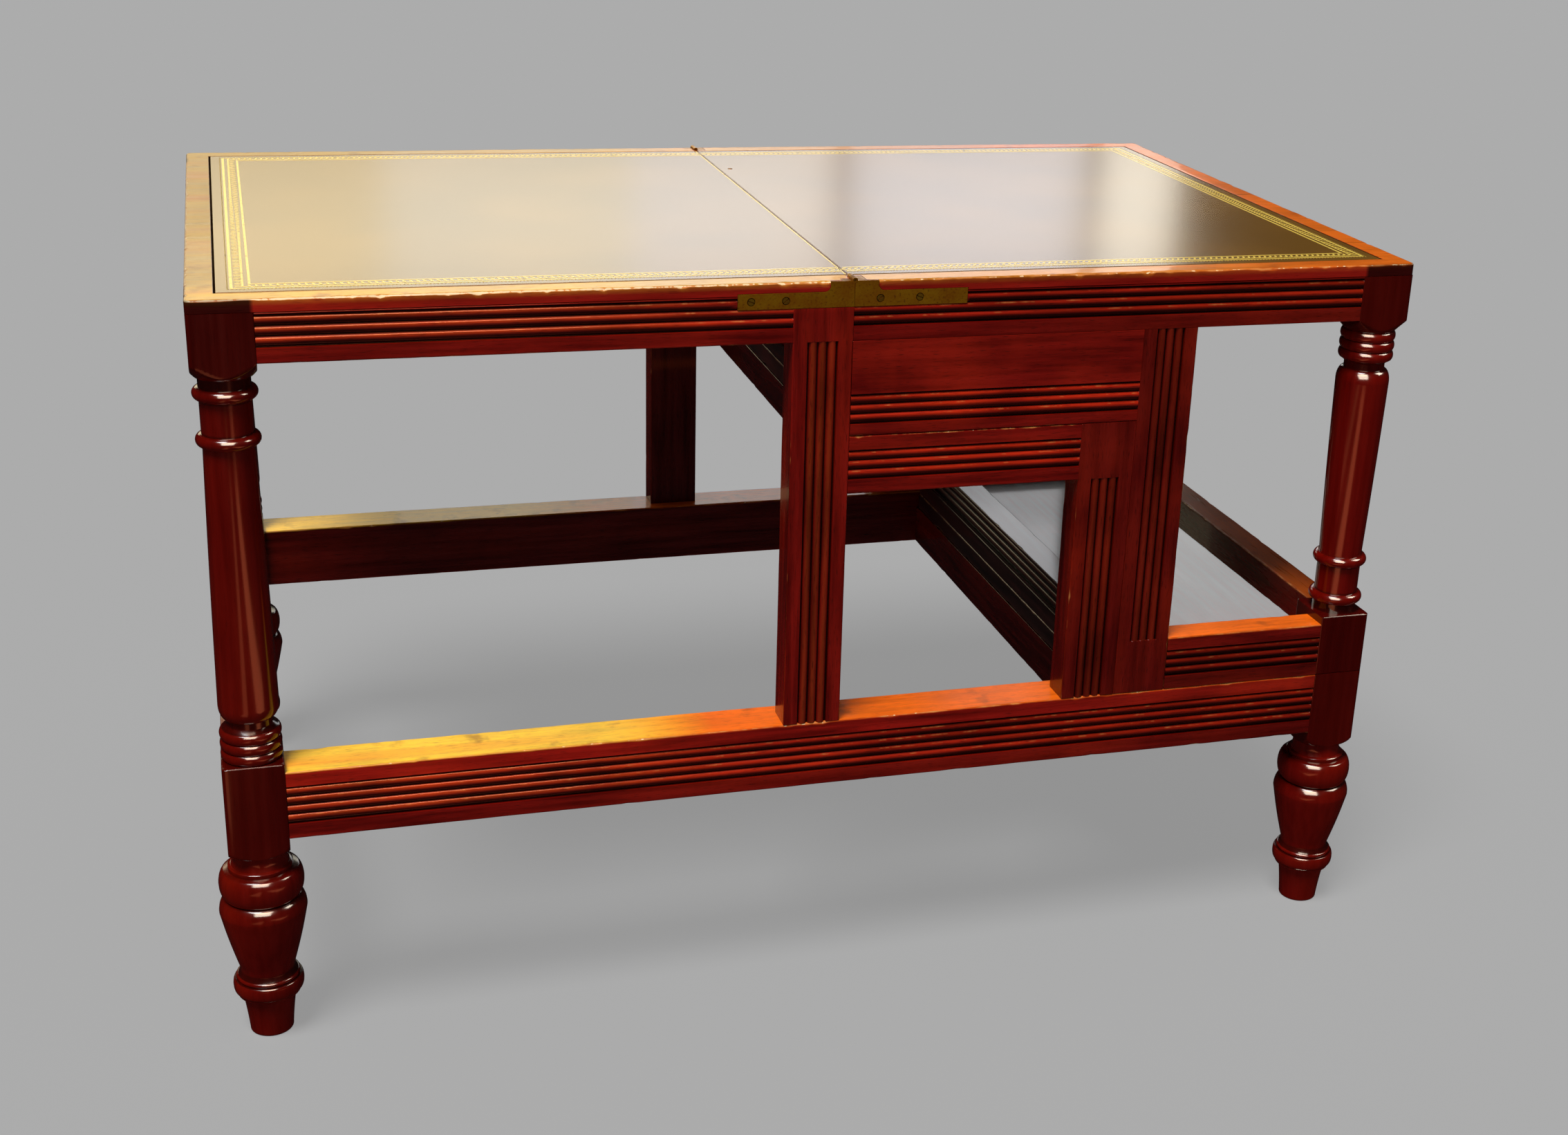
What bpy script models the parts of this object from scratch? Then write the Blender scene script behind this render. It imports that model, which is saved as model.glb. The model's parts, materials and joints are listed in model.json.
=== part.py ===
# A library table that folds over into a flight of steps: the right half swings
# on two brass hinges and stands upside down on the left half.
# Metres, X along the table, Y to the back, Z up, origin on the floor under the middle.
import math

import bmesh
import bpy
from mathutils import Matrix

# Overall size
LENGTH = 1.220
DEPTH = 0.730
HEIGHT = 0.760

# Clearances
GAP = 0.0003              # between two pieces that touch
PIVOT_RISE = 0.0004       # hinge axis above the writing surface

# The stepped line that divides the table
STEP_X = 0.307            # from the split to the riser between the fixed treads
FIRST_TREAD = 0.2965      # height of the lower tread
SECOND_TREAD = 0.604      # height of the upper fixed tread
TREAD_THICK = 0.022

# Timber sections
LEG_BLOCK = 0.058
POST_WIDTH = 0.060
RAIL_THICK = 0.034
BASE_THICK = 0.050
TOP_THICK = 0.0125
TOP_RAIL = 0.0465         # height of the rails under the top boards
BASE_RAIL = 0.0715
STEP_RAIL = 0.060
SHORT_RAIL = 0.060
BLOCK_RISE = 0.0085       # leg block above its rail
BLOCK_DROP = 0.020        # leg block below its rail
TOP_BLOCK_DROP = 0.0155   # top block below the top rail
BLOCK_SHOULDER = 0.015    # length of the worked lower end of a block
BLOCK_END_R = 0.0272      # radius of a block at that end

# Writing surface
BORDER = 0.025
LEATHER_THICK = 0.0012
LEATHER_BED = 0.0003      # glue line under the leather

# Reeding
REED_PITCH = 0.0095
REED_GROOVE = 0.0036
REED_DEPTH = 0.0026
REED_EDGE = 0.0006        # least plain strip between a groove and an edge
REEDED_GROOVES = 4
BASE_GROOVES = 5
TOP_REED_START = 0.00245  # first groove of a top rail below its upper edge
PANEL_REED_START = 0.01275  # first groove of a panel above its lower edge

# Turning, as radii and as lengths along the leg
SEGMENTS = 16
BEAD_STEPS = 4
PEG_TIP_R = 0.0212
PEG_TOP_R = 0.0260
PEG_EDGE = 0.002
PEG_HEIGHT = 0.043
ANKLE_R = 0.0343
ANKLE_ROOT_R = 0.0280
ANKLE_HEIGHT = 0.0235
ANKLE_COVE = 0.008
VASE_FOOT_R = 0.0267
VASE_R = 0.0422
VASE_SHOULDER = 0.0155
WAIST_R = 0.0342
TORUS_R = 0.0408
TORUS_HEIGHT = 0.031
COLLAR_R = 0.0268
COLLAR_LIP_R = 0.0310
COLLAR_LIP = 0.005
COLLAR_HEIGHT = 0.020
RING_R = 0.0290
RING_ROOT_R = 0.0258
RING_HEIGHT = 0.0108
RINGS = 3
NECK_R = 0.0215
NECK_HEIGHT = 0.010
SHAFT_WIDE_R = 0.0283
SHAFT_NARROW_R = 0.0232
SHAFT_SHOULDER = 0.014
BEAD_R = 0.0291
BEAD_ROOT_R = 0.0234
BEAD_HEIGHT = 0.012
BEAD_FILLET = 0.0102
DRUM_HEIGHT = 0.032

# Strap hinges
STRAP_LENGTH = 0.115
STRAP_HEIGHT = 0.0155
STRAP_DROP = 0.010        # strap below the writing surface
EAR_WIDTH = 0.024
EAR_COVE = 0.006
COVE_STEPS = 4
LEAF_THICK = 0.0022
TAB_REACH = 0.012
KNUCKLE_R = 0.0026
KNUCKLE_LENGTH = 0.0095
PIN_R = 0.0012
PIN_INSET = 0.0006
LEFT_SCREWS = (0.068, 0.102)   # near and far screw from the split
RIGHT_SCREWS = (0.026, 0.066)
SCREW_HEAD_R = 0.0036
SCREW_HEAD = 0.0018
SCREW_SHANK_R = 0.0016
SCREW_LENGTH = 0.014
SCREW_SIDES = 12

# Heights and places that follow from the sizes above
SPLIT = GAP / 2
TOP_UNDER = HEIGHT - TOP_THICK
RAIL_TOP = TOP_UNDER - GAP
RAIL_BOTTOM = RAIL_TOP - TOP_RAIL
BASE_BOTTOM = FIRST_TREAD - BASE_RAIL
STEP_RAIL_BOTTOM = SECOND_TREAD - STEP_RAIL
FLAP_FIRST = FIRST_TREAD + GAP       # lowest level of the flap
FLAP_SECOND = SECOND_TREAD + GAP
SHORT_TOP = FLAP_FIRST + SHORT_RAIL
FRONT = DEPTH / 2
SIDE = LENGTH / 2
BLOCK_INNER_X = SIDE - LEG_BLOCK
BLOCK_INNER_Y = FRONT - LEG_BLOCK
PIVOT_Z = HEIGHT + PIVOT_RISE


def clear_scene():
    for old in list(bpy.data.objects):
        bpy.data.objects.remove(old)


def make_material(name, colour, roughness, metallic):
    material = bpy.data.materials.new(name)
    material.use_nodes = True
    shader = material.node_tree.nodes["Principled BSDF"]
    shader.inputs["Base Color"].default_value = (*colour, 1.0)
    shader.inputs["Roughness"].default_value = roughness
    shader.inputs["Metallic"].default_value = metallic
    return material


def make_pivot(name, height):
    pivot = bpy.data.objects.new(name, None)
    pivot.location = (0.0, 0.0, height)
    bpy.context.scene.collection.objects.link(pivot)
    return pivot


def add_object(name, shape, material, pivot):
    bmesh.ops.recalc_face_normals(shape, faces=shape.faces)
    mesh = bpy.data.meshes.new(name)
    shape.to_mesh(mesh)
    shape.free()
    mesh.materials.append(material)
    piece = bpy.data.objects.new(name, mesh)
    bpy.context.scene.collection.objects.link(piece)
    piece.parent = pivot
    piece.matrix_parent_inverse = Matrix.Translation(pivot.location).inverted()
    return piece


def add_cutter(name, shape, material, pivot):
    cutter = add_object(name, shape, material, pivot)
    cutter.hide_render = True
    cutter.display_type = "WIRE"
    return cutter


def combine(piece, tool, operation):
    modifier = piece.modifiers.new(tool.name, "BOOLEAN")
    modifier.operation = operation
    modifier.solver = "EXACT"
    modifier.object = tool


# Solids

def loft(sections):
    # Closed solid through sections that have equal counts of points
    shape = bmesh.new()
    rings = [[shape.verts.new(point) for point in section] for section in sections]
    count = len(rings[0])
    for lower, upper in zip(rings, rings[1:]):
        for i in range(count):
            j = (i + 1) % count
            shape.faces.new((lower[i], lower[j], upper[j], upper[i]))
    shape.faces.new(list(reversed(rings[0])))
    shape.faces.new(rings[-1])
    bmesh.ops.remove_doubles(shape, verts=shape.verts, dist=1e-6)
    return shape


def block(x, y, z):
    corners = ((x[0], y[0]), (x[1], y[0]), (x[1], y[1]), (x[0], y[1]))
    return loft([[(cx, cy, level) for cx, cy in corners] for level in z])


def rod(x, z, radius, y, sides):
    # Round bar along Y
    turns = [math.tau * i / sides for i in range(sides)]
    circle = [(x + radius * math.cos(a), z + radius * math.sin(a)) for a in turns]
    return loft([[(px, level, pz) for px, pz in circle] for level in y])


def fitting_grooves(room, wanted):
    # As many grooves as `room` takes between the middles of the first and the last
    return max(0, min(wanted, math.floor(room / REED_PITCH) + 1))


def grooves_between(across, wanted):
    # Middles of the grooves in the middle of a face
    low, high = across
    count = fitting_grooves(high - low - 2 * REED_EDGE - REED_GROOVE, wanted)
    return [(low + high) / 2 + (i - (count - 1) / 2) * REED_PITCH for i in range(count)]


def grooves_from(start, far_edge, wanted):
    # Middles of the grooves from a first one towards the far edge
    way = 1 if far_edge > start else -1
    count = fitting_grooves(abs(far_edge - start) - REED_GROOVE / 2 - REED_EDGE, wanted)
    return sorted(start + way * i * REED_PITCH for i in range(count))


def reed_outline(across, thick, grooves, depth):
    low, high = across
    points = [(0.0, low)]
    for middle in grooves:
        points.append((0.0, middle - REED_GROOVE / 2))
        points.append((depth, middle - REED_GROOVE / 4))
        points.append((depth, middle + REED_GROOVE / 4))
        points.append((0.0, middle + REED_GROOVE / 2))
    return points + [(0.0, high), (thick, high), (thick, low)]


def reeded_bar(place, run, across, thick, grooves, stops=None):
    # Bar along `run` with grooves in its face, which end square at `stops`
    cut = reed_outline(across, thick, grooves, REED_DEPTH)
    plain = reed_outline(across, thick, grooves, 0.0)
    start, end = stops or run
    stations = [(start, cut), (end, cut)]
    if start > run[0]:
        stations = [(run[0], plain), (start, plain)] + stations
    if end < run[1]:
        stations = stations + [(end, plain), (run[1], plain)]
    return loft([[place(u, v, w) for v, w in outline] for u, outline in stations])


# Places on the table's faces: u along the piece, v in from the face, w across it

def rail_place(side):
    return lambda u, v, w: (u, side * (FRONT - v), w)


def post_place(side):
    return lambda u, v, w: (w, side * (FRONT - v), u)


def end_place(side):
    return lambda u, v, w: (side * (SIDE - v), u, w)


def cross_place(x):
    return lambda u, v, w: (x + v, u, w)


# Turned legs, as rings that are the smaller of a square and a circle

def ring(radius, level):
    return (math.inf, radius, level)


def bead(low, high, root, crown):
    middle = (low + high) / 2
    half = (high - low) / 2
    turns = [math.pi * i / BEAD_STEPS for i in range(BEAD_STEPS + 1)]
    return [ring(root + (crown - root) * math.sin(a), middle - half * math.cos(a)) for a in turns]


def foot_rings(top):
    # From the floor to the underside of the lower block
    vase_low = PEG_HEIGHT + ANKLE_HEIGHT + ANKLE_COVE
    collar_low = top - COLLAR_HEIGHT
    waist = collar_low - TORUS_HEIGHT
    rings = [ring(PEG_TIP_R - PEG_EDGE, 0.0), ring(PEG_TIP_R, PEG_EDGE)]
    rings.append(ring(PEG_TOP_R, PEG_HEIGHT))
    rings += bead(PEG_HEIGHT, PEG_HEIGHT + ANKLE_HEIGHT, ANKLE_ROOT_R, ANKLE_R)
    rings.append(ring(VASE_FOOT_R, vase_low))
    for i in range(BEAD_STEPS + 1):
        turn = 0.5 * math.pi * i / BEAD_STEPS
        radius = WAIST_R + (VASE_R - WAIST_R) * math.cos(turn)
        rings.append(ring(radius, waist - VASE_SHOULDER * (1 - math.sin(turn))))
    rings += bead(waist, collar_low, WAIST_R, TORUS_R)[1:-1]
    rings.append(ring(COLLAR_LIP_R, collar_low))
    rings.append(ring(COLLAR_LIP_R, collar_low + COLLAR_LIP))
    rings.append(ring(COLLAR_R, top))
    return rings


def block_rings(low, high, lower_end):
    # Square block whose lower end is plain, rounded off or hollowed to meet the turning
    half = LEG_BLOCK / 2
    corner = half * math.sqrt(2)
    if lower_end == "plain":
        return [(half, corner, low), (half, corner, high)]
    rings = []
    for i in range(BEAD_STEPS):
        turn = 0.5 * math.pi * i / BEAD_STEPS
        out, up = math.sin(turn), 1 - math.cos(turn)
        if lower_end == "hollow":
            out, up = up, out
        rings.append((half, BLOCK_END_R + (corner - BLOCK_END_R) * out, low + BLOCK_SHOULDER * up))
    return rings + [(half, corner, low + BLOCK_SHOULDER), (half, corner, high)]


def shaft_rings(low, high, beads_above):
    # Between two blocks: rings and neck at the wide end, two beads and a drum at the other
    rings = []
    level = 0.0
    for _ in range(RINGS):
        rings += bead(level, level + RING_HEIGHT, RING_ROOT_R, RING_R)[(1 if rings else 0):]
        level += RING_HEIGHT
    rings.append(ring(NECK_R, level + NECK_HEIGHT / 2))
    level += NECK_HEIGHT
    for i in range(BEAD_STEPS + 1):
        turn = 0.5 * math.pi * i / BEAD_STEPS
        radius = NECK_R + (SHAFT_WIDE_R - NECK_R) * math.sin(turn)
        rings.append(ring(radius, level + SHAFT_SHOULDER * (1 - math.cos(turn))))
    span = high - low
    second = span - BEAD_FILLET - 2 * BEAD_HEIGHT - DRUM_HEIGHT
    first = span - BEAD_FILLET - BEAD_HEIGHT
    rings.append(ring(SHAFT_NARROW_R, second))
    rings += bead(second, second + BEAD_HEIGHT, BEAD_ROOT_R, BEAD_R)
    rings += bead(first, first + BEAD_HEIGHT, BEAD_ROOT_R, BEAD_R)
    rings.append(ring(BEAD_ROOT_R, span))
    if beads_above:
        return [(half, radius, low + level) for half, radius, level in rings]
    return [(half, radius, high - level) for half, radius, level in reversed(rings)]


def turned(x, y, rings):
    sections = []
    for half, radius, level in rings:
        section = []
        for i in range(SEGMENTS):
            turn = math.tau * i / SEGMENTS
            reach = min(radius, half / max(abs(math.cos(turn)), abs(math.sin(turn))))
            section.append((x + reach * math.cos(turn), y + reach * math.sin(turn), level))
        sections.append(section)
    return loft(sections)


def shade_turning(piece):
    piece.data.shade_smooth()
    piece.data.set_sharp_from_angle(angle=math.radians(40))


def add_legs(material, base, flap):
    foot_top = BASE_BOTTOM - BLOCK_DROP
    lower_top = FIRST_TREAD + BLOCK_RISE
    upper_low = RAIL_BOTTOM - TOP_BLOCK_DROP
    flap_block_top = SHORT_TOP + BLOCK_RISE
    top_block = block_rings(upper_low, RAIL_TOP, "hollow")
    whole = foot_rings(foot_top) + block_rings(foot_top, lower_top, "round")
    whole += shaft_rings(lower_top, upper_low, True) + top_block
    foot = foot_rings(foot_top) + block_rings(foot_top, FIRST_TREAD, "round")
    upper = block_rings(FLAP_FIRST, flap_block_top, "plain")
    upper += shaft_rings(flap_block_top, upper_low, False) + top_block
    x = SIDE - LEG_BLOCK / 2
    for name, side in (("front", -1), ("back", 1)):
        y = side * (FRONT - LEG_BLOCK / 2)
        shade_turning(add_object(f"left_{name}_leg", turned(-x, y, whole), material, base))
        shade_turning(add_object(f"right_{name}_foot", turned(x, y, foot), material, base))
        shade_turning(add_object(f"right_{name}_upper_leg", turned(x, y, upper), material, flap))


# Rails, posts and panels

def add_base_frame(material, base):
    heights = (BASE_BOTTOM, FIRST_TREAD)
    grooves = grooves_between(heights, BASE_GROOVES)
    between = BLOCK_INNER_X - GAP
    for name, side in (("front", -1), ("back", 1)):
        bar = reeded_bar(rail_place(side), (-between, between), heights, BASE_THICK, grooves)
        add_object(f"{name}_bottom_rail", bar, material, base)
    ends = BLOCK_INNER_Y - GAP
    bar = reeded_bar(end_place(-1), (-ends, ends), heights, RAIL_THICK, grooves)
    add_object("left_end_bottom_rail", bar, material, base)
    low = (BASE_BOTTOM, FIRST_TREAD - TREAD_THICK - GAP)
    end_rail = block((SIDE - RAIL_THICK, SIDE), (-ends, ends), low)
    add_object("right_end_base_rail", end_rail, material, base)
    inner = FRONT - BASE_THICK - GAP
    cross_rail = block((STEP_X, STEP_X + RAIL_THICK), (-inner, inner), low)
    add_object("base_cross_rail", cross_rail, material, base)


def add_top_rails(material, base, flap):
    heights = (RAIL_BOTTOM, RAIL_TOP)
    grooves = grooves_from(RAIL_TOP - TOP_REED_START, RAIL_BOTTOM, REEDED_GROOVES)
    left = (-BLOCK_INNER_X + GAP, -SPLIT - POST_WIDTH - GAP)
    right = (SPLIT, BLOCK_INNER_X - GAP)
    rails = {}
    for name, side in (("front", -1), ("back", 1)):
        for half, run, pivot in (("left", left, base), ("right", right, flap)):
            bar = reeded_bar(rail_place(side), run, heights, RAIL_THICK, grooves)
            rails[name, half] = add_object(f"{name}_top_rail_{half}", bar, material, pivot)
    ends = BLOCK_INNER_Y - GAP
    for half, side, pivot in (("left", -1, base), ("right", 1, flap)):
        bar = reeded_bar(end_place(side), (-ends, ends), heights, RAIL_THICK, grooves)
        add_object(f"{half}_end_top_rail", bar, material, pivot)
    inner = FRONT - RAIL_THICK - GAP
    add_object("split_rail", block((-SPLIT - RAIL_THICK, -SPLIT), (-inner, inner), heights), material, base)
    return rails


def add_posts(material, base, flap):
    centre_x = (-SPLIT - POST_WIDTH, -SPLIT)
    inner_x = (STEP_X - POST_WIDTH, STEP_X)
    outer_x = (STEP_X + GAP, STEP_X + GAP + POST_WIDTH)
    foot = FIRST_TREAD + GAP
    head = RAIL_BOTTOM - GAP
    posts = (
        ("centre_post", centre_x, (foot, RAIL_TOP), (foot, RAIL_BOTTOM), base),
        ("inner_post", inner_x, (foot, SECOND_TREAD), (foot, STEP_RAIL_BOTTOM), base),
        ("outer_post", outer_x, (FLAP_FIRST, head), (SHORT_TOP, head), flap),
    )
    centre_posts = {}
    for name, side in (("front", -1), ("back", 1)):
        for kind, across, run, stops, pivot in posts:
            grooves = grooves_between(across, REEDED_GROOVES)
            bar = reeded_bar(post_place(side), run, across, RAIL_THICK, grooves, stops)
            post = add_object(f"{name}_{kind}", bar, material, pivot)
            if kind == "centre_post":
                centre_posts[name] = post
    return centre_posts


def add_step_frame(material, base, flap):
    step_run = (SPLIT, STEP_X - POST_WIDTH - GAP)
    step_heights = (STEP_RAIL_BOTTOM, SECOND_TREAD)
    panel_heights = (FLAP_SECOND, RAIL_BOTTOM - GAP)
    panel_grooves = grooves_from(FLAP_SECOND + PANEL_REED_START, panel_heights[1], REEDED_GROOVES)
    short_run = (STEP_X + POST_WIDTH + 2 * GAP, BLOCK_INNER_X - GAP)
    short_heights = (FLAP_FIRST, SHORT_TOP)
    bars = (
        ("step_rail", step_run, step_heights, grooves_between(step_heights, REEDED_GROOVES), base),
        ("step_panel", (SPLIT, STEP_X), panel_heights, panel_grooves, flap),
        ("short_rail", short_run, short_heights, grooves_between(short_heights, REEDED_GROOVES), flap),
    )
    for name, side in (("front", -1), ("back", 1)):
        for kind, run, across, grooves, pivot in bars:
            bar = reeded_bar(rail_place(side), run, across, RAIL_THICK, grooves)
            add_object(f"{name}_{kind}", bar, material, pivot)


def add_cross_rails(material, base, flap):
    inner = FRONT - RAIL_THICK - GAP
    wide = (-inner, inner)
    under_second = SECOND_TREAD - TREAD_THICK - GAP
    over_third = FLAP_SECOND + TREAD_THICK + GAP
    over_fourth = FLAP_FIRST + TREAD_THICK + GAP
    fixed_heights = (STEP_RAIL_BOTTOM, under_second)
    add_object("upper_cross_rail", block((SPLIT, SPLIT + RAIL_THICK), wide, fixed_heights), material, base)
    add_object("second_tread_rail", block((STEP_X - RAIL_THICK, STEP_X), wide, fixed_heights), material, base)

    over = (over_third, RAIL_TOP)
    riser_grooves = grooves_from(over_third + PANEL_REED_START, RAIL_TOP, REEDED_GROOVES)
    riser = reeded_bar(cross_place(SPLIT), wide, over, RAIL_THICK, riser_grooves)
    add_object("riser_board", riser, material, flap)
    outer = STEP_X + GAP
    add_object("third_tread_rail", block((outer, outer + RAIL_THICK), wide, over), material, flap)
    low = (over_fourth, SHORT_TOP)
    step_rail = reeded_bar(cross_place(outer), wide, low, RAIL_THICK, grooves_between(low, REEDED_GROOVES))
    add_object("step_cross_rail", step_rail, material, flap)
    ends = BLOCK_INNER_Y - GAP
    end_rail = block((SIDE - RAIL_THICK, SIDE), (-ends, ends), low)
    add_object("right_end_lower_rail", end_rail, material, flap)


def add_treads(material, base, flap):
    narrow = (-BLOCK_INNER_Y + GAP, BLOCK_INNER_Y - GAP)
    inner = FRONT - RAIL_THICK - GAP
    wide = (-inner, inner)
    outer = STEP_X + GAP
    treads = (
        ("first_tread", (STEP_X, SIDE), narrow, FIRST_TREAD - TREAD_THICK, base),
        ("second_tread", (SPLIT, STEP_X), wide, SECOND_TREAD - TREAD_THICK, base),
        ("third_tread", (SPLIT, outer + RAIL_THICK), wide, FLAP_SECOND, flap),
        ("fourth_tread", (outer, SIDE), narrow, FLAP_FIRST, flap),
    )
    for name, along, across, under, pivot in treads:
        add_object(name, block(along, across, (under, under + TREAD_THICK)), material, pivot)


# Writing surface

def add_top(wood, leather, base, flap):
    boards = {}
    sink = LEATHER_THICK + LEATHER_BED
    for half, side, pivot in (("left", -1, base), ("right", 1, flap)):
        edges = sorted((side * SPLIT, side * SIDE))
        slab = block(edges, (-FRONT, FRONT), (TOP_UNDER, HEIGHT))
        board = add_object(f"{half}_top_board", slab, wood, pivot)
        bed = sorted((-side * BORDER, side * (SIDE - BORDER)))
        reach = FRONT - BORDER
        pocket = block(bed, (-reach, reach), (HEIGHT - sink, HEIGHT + sink))
        combine(board, add_cutter(f"{half}_leather_pocket", pocket, wood, pivot), "DIFFERENCE")
        skin = sorted((side * SPLIT, side * (SIDE - BORDER - GAP)))
        skin_reach = reach - GAP
        sheet = block(skin, (-skin_reach, skin_reach), (HEIGHT - LEATHER_THICK, HEIGHT))
        add_object(f"{half}_leather", sheet, leather, pivot)
        boards[half] = board
    return boards


# Strap hinges, let in flush with the front and back edges

def leaf_outline(slack):
    # Strap with an ear beside the split, for a leaf (no slack) or for its bed
    low = HEIGHT - STRAP_DROP - STRAP_HEIGHT - slack
    high = HEIGHT - STRAP_DROP + slack
    end = STRAP_LENGTH + slack
    ear = EAR_WIDTH + slack
    cove = EAR_COVE - slack
    points = [(SPLIT, low), (end, low), (end, high)]
    for i in range(COVE_STEPS + 1):
        turn = 0.5 * math.pi * i / COVE_STEPS
        points.append((ear + cove * (1 - math.sin(turn)), high + cove * (1 - math.cos(turn))))
    top = HEIGHT + slack if slack else HEIGHT - GAP
    return points + [(ear, top), (SPLIT, top)]


def plate(outline, half, side, depth):
    # Outline in the face of an edge, given a thickness in from the face
    levels = (side * depth[0], side * depth[1])
    return loft([[(half * x, y, z) for x, z in outline] for y in levels])


def screw_rings(slack, over):
    # Countersunk screw from its head inwards; `over` lengthens a cutter past the face
    head = SCREW_HEAD_R + slack
    shank = SCREW_SHANK_R + slack
    rings = [(head, -over), (head, 0.0)] if over else [(head, 0.0)]
    return rings + [(shank, SCREW_HEAD + slack), (shank, SCREW_LENGTH + slack)]


def screw(x, side, slack=0.0, over=0.0):
    z = HEIGHT - STRAP_DROP - STRAP_HEIGHT / 2
    sections = []
    for radius, depth in screw_rings(slack, over):
        section = []
        for i in range(SCREW_SIDES):
            turn = math.tau * i / SCREW_SIDES
            section.append((x + radius * math.cos(turn), side * (FRONT - depth), z + radius * math.sin(turn)))
        sections.append(section)
    return loft(sections)


def knuckle(side, first, last, radius):
    return rod(0.0, PIVOT_Z, radius, sorted((side * (FRONT - first), side * (FRONT - last))), SEGMENTS)


def add_hinge(name, side, brass, pins, wood, base, flap, beds):
    # The left knuckle is at the edge, the right one behind it, on one pin
    proud = LEAF_THICK            # cutters start this far outside the edge
    first = KNUCKLE_LENGTH
    last = 2 * KNUCKLE_LENGTH + GAP
    spans = {"left": (0.0, first, base), "right": (first + GAP, last, flap)}
    for half, sign in (("left", -1), ("right", 1)):
        start, end, pivot = spans[half]
        label = f"{name}_{half}"
        strap = plate(leaf_outline(0.0), sign, side, (FRONT, FRONT - LEAF_THICK))
        leaf = add_object(f"{name}_hinge_leaf_{half}", strap, brass, pivot)
        tab_x = sorted((sign * SPLIT, sign * TAB_REACH))
        tab_y = sorted((side * (FRONT - LEAF_THICK / 2), side * (FRONT - end)))
        tab = block(tab_x, tab_y, (HEIGHT - LEAF_THICK, HEIGHT - GAP / 2))
        combine(leaf, add_cutter(f"{label}_tab", tab, brass, pivot), "UNION")
        if half == "right":
            room = knuckle(side, -proud, first + GAP, KNUCKLE_R + GAP)
            combine(leaf, add_cutter(f"{label}_room", room, brass, pivot), "DIFFERENCE")
        barrel = knuckle(side, start, end, KNUCKLE_R)
        combine(leaf, add_cutter(f"{label}_barrel", barrel, brass, pivot), "UNION")
        bore = knuckle(side, -proud, last + proud, PIN_R + GAP)
        combine(leaf, add_cutter(f"{label}_bore", bore, brass, pivot), "DIFFERENCE")

        bed = plate(leaf_outline(GAP), sign, side, (FRONT + proud, FRONT - LEAF_THICK - GAP))
        shapes = [(f"{label}_bed", bed)]
        slot_x = sorted((-sign * GAP, sign * (TAB_REACH + GAP)))
        slot_y = sorted((side * (FRONT + proud), side * (FRONT - end - GAP)))
        slot = block(slot_x, slot_y, (HEIGHT - LEAF_THICK - GAP, HEIGHT + proud))
        shapes.append((f"{label}_slot", slot))
        shapes.append((f"{label}_trench", knuckle(side, -proud, last + GAP, KNUCKLE_R + GAP)))
        cutters = {key: add_cutter(key, shape, wood, pivot) for key, shape in shapes}
        for piece in beds[half]["bed"]:
            combine(piece, cutters[f"{label}_bed"], "DIFFERENCE")
        for key in ("slot", "trench"):
            combine(beds[half]["board"], cutters[f"{label}_{key}"], "DIFFERENCE")

        distances = LEFT_SCREWS if half == "left" else RIGHT_SCREWS
        for place, distance in zip(("near", "far"), distances):
            x = sign * distance
            add_object(f"{name}_{half}_screw_{place}", screw(x, side), pins, pivot)
            hole = add_cutter(f"{label}_{place}_hole", screw(x, side, GAP, proud), wood, pivot)
            combine(leaf, hole, "DIFFERENCE")
            combine(beds[half]["rail"], hole, "DIFFERENCE")
    pin = knuckle(side, PIN_INSET, last - PIN_INSET, PIN_R)
    add_object(f"{name}_hinge_pin", pin, pins, base)


def main():
    clear_scene()
    mahogany = make_material("polished_mahogany", (0.155, 0.030, 0.012), 0.28, 0.0)
    turning = make_material("turned_mahogany", (0.120, 0.022, 0.010), 0.22, 0.0)
    tread = make_material("tread_mahogany", (0.140, 0.030, 0.013), 0.42, 0.0)
    leather = make_material("dark_leather", (0.030, 0.022, 0.016), 0.35, 0.0)
    brass = make_material("aged_brass", (0.340, 0.245, 0.075), 0.42, 1.0)
    screw_brass = make_material("screw_brass", (0.300, 0.210, 0.070), 0.48, 1.0)
    base = make_pivot("base_frame", 0.0)
    flap = make_pivot("flap_hinge_axis", PIVOT_Z)
    add_legs(turning, base, flap)
    add_base_frame(mahogany, base)
    rails = add_top_rails(mahogany, base, flap)
    centre_posts = add_posts(mahogany, base, flap)
    add_step_frame(mahogany, base, flap)
    add_cross_rails(mahogany, base, flap)
    add_treads(tread, base, flap)
    boards = add_top(mahogany, leather, base, flap)
    for name, side in (("front", -1), ("back", 1)):
        left_rail = rails[name, "left"]
        right_rail = rails[name, "right"]
        beds = {
            "left": {"board": boards["left"], "rail": left_rail,
                     "bed": (boards["left"], left_rail, centre_posts[name])},
            "right": {"board": boards["right"], "rail": right_rail, "bed": (boards["right"], right_rail)},
        }
        add_hinge(name, side, brass, screw_brass, mahogany, base, flap, beds)


main()
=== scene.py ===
import json
import math

import bmesh
import bpy
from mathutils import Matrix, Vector, noise


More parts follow.
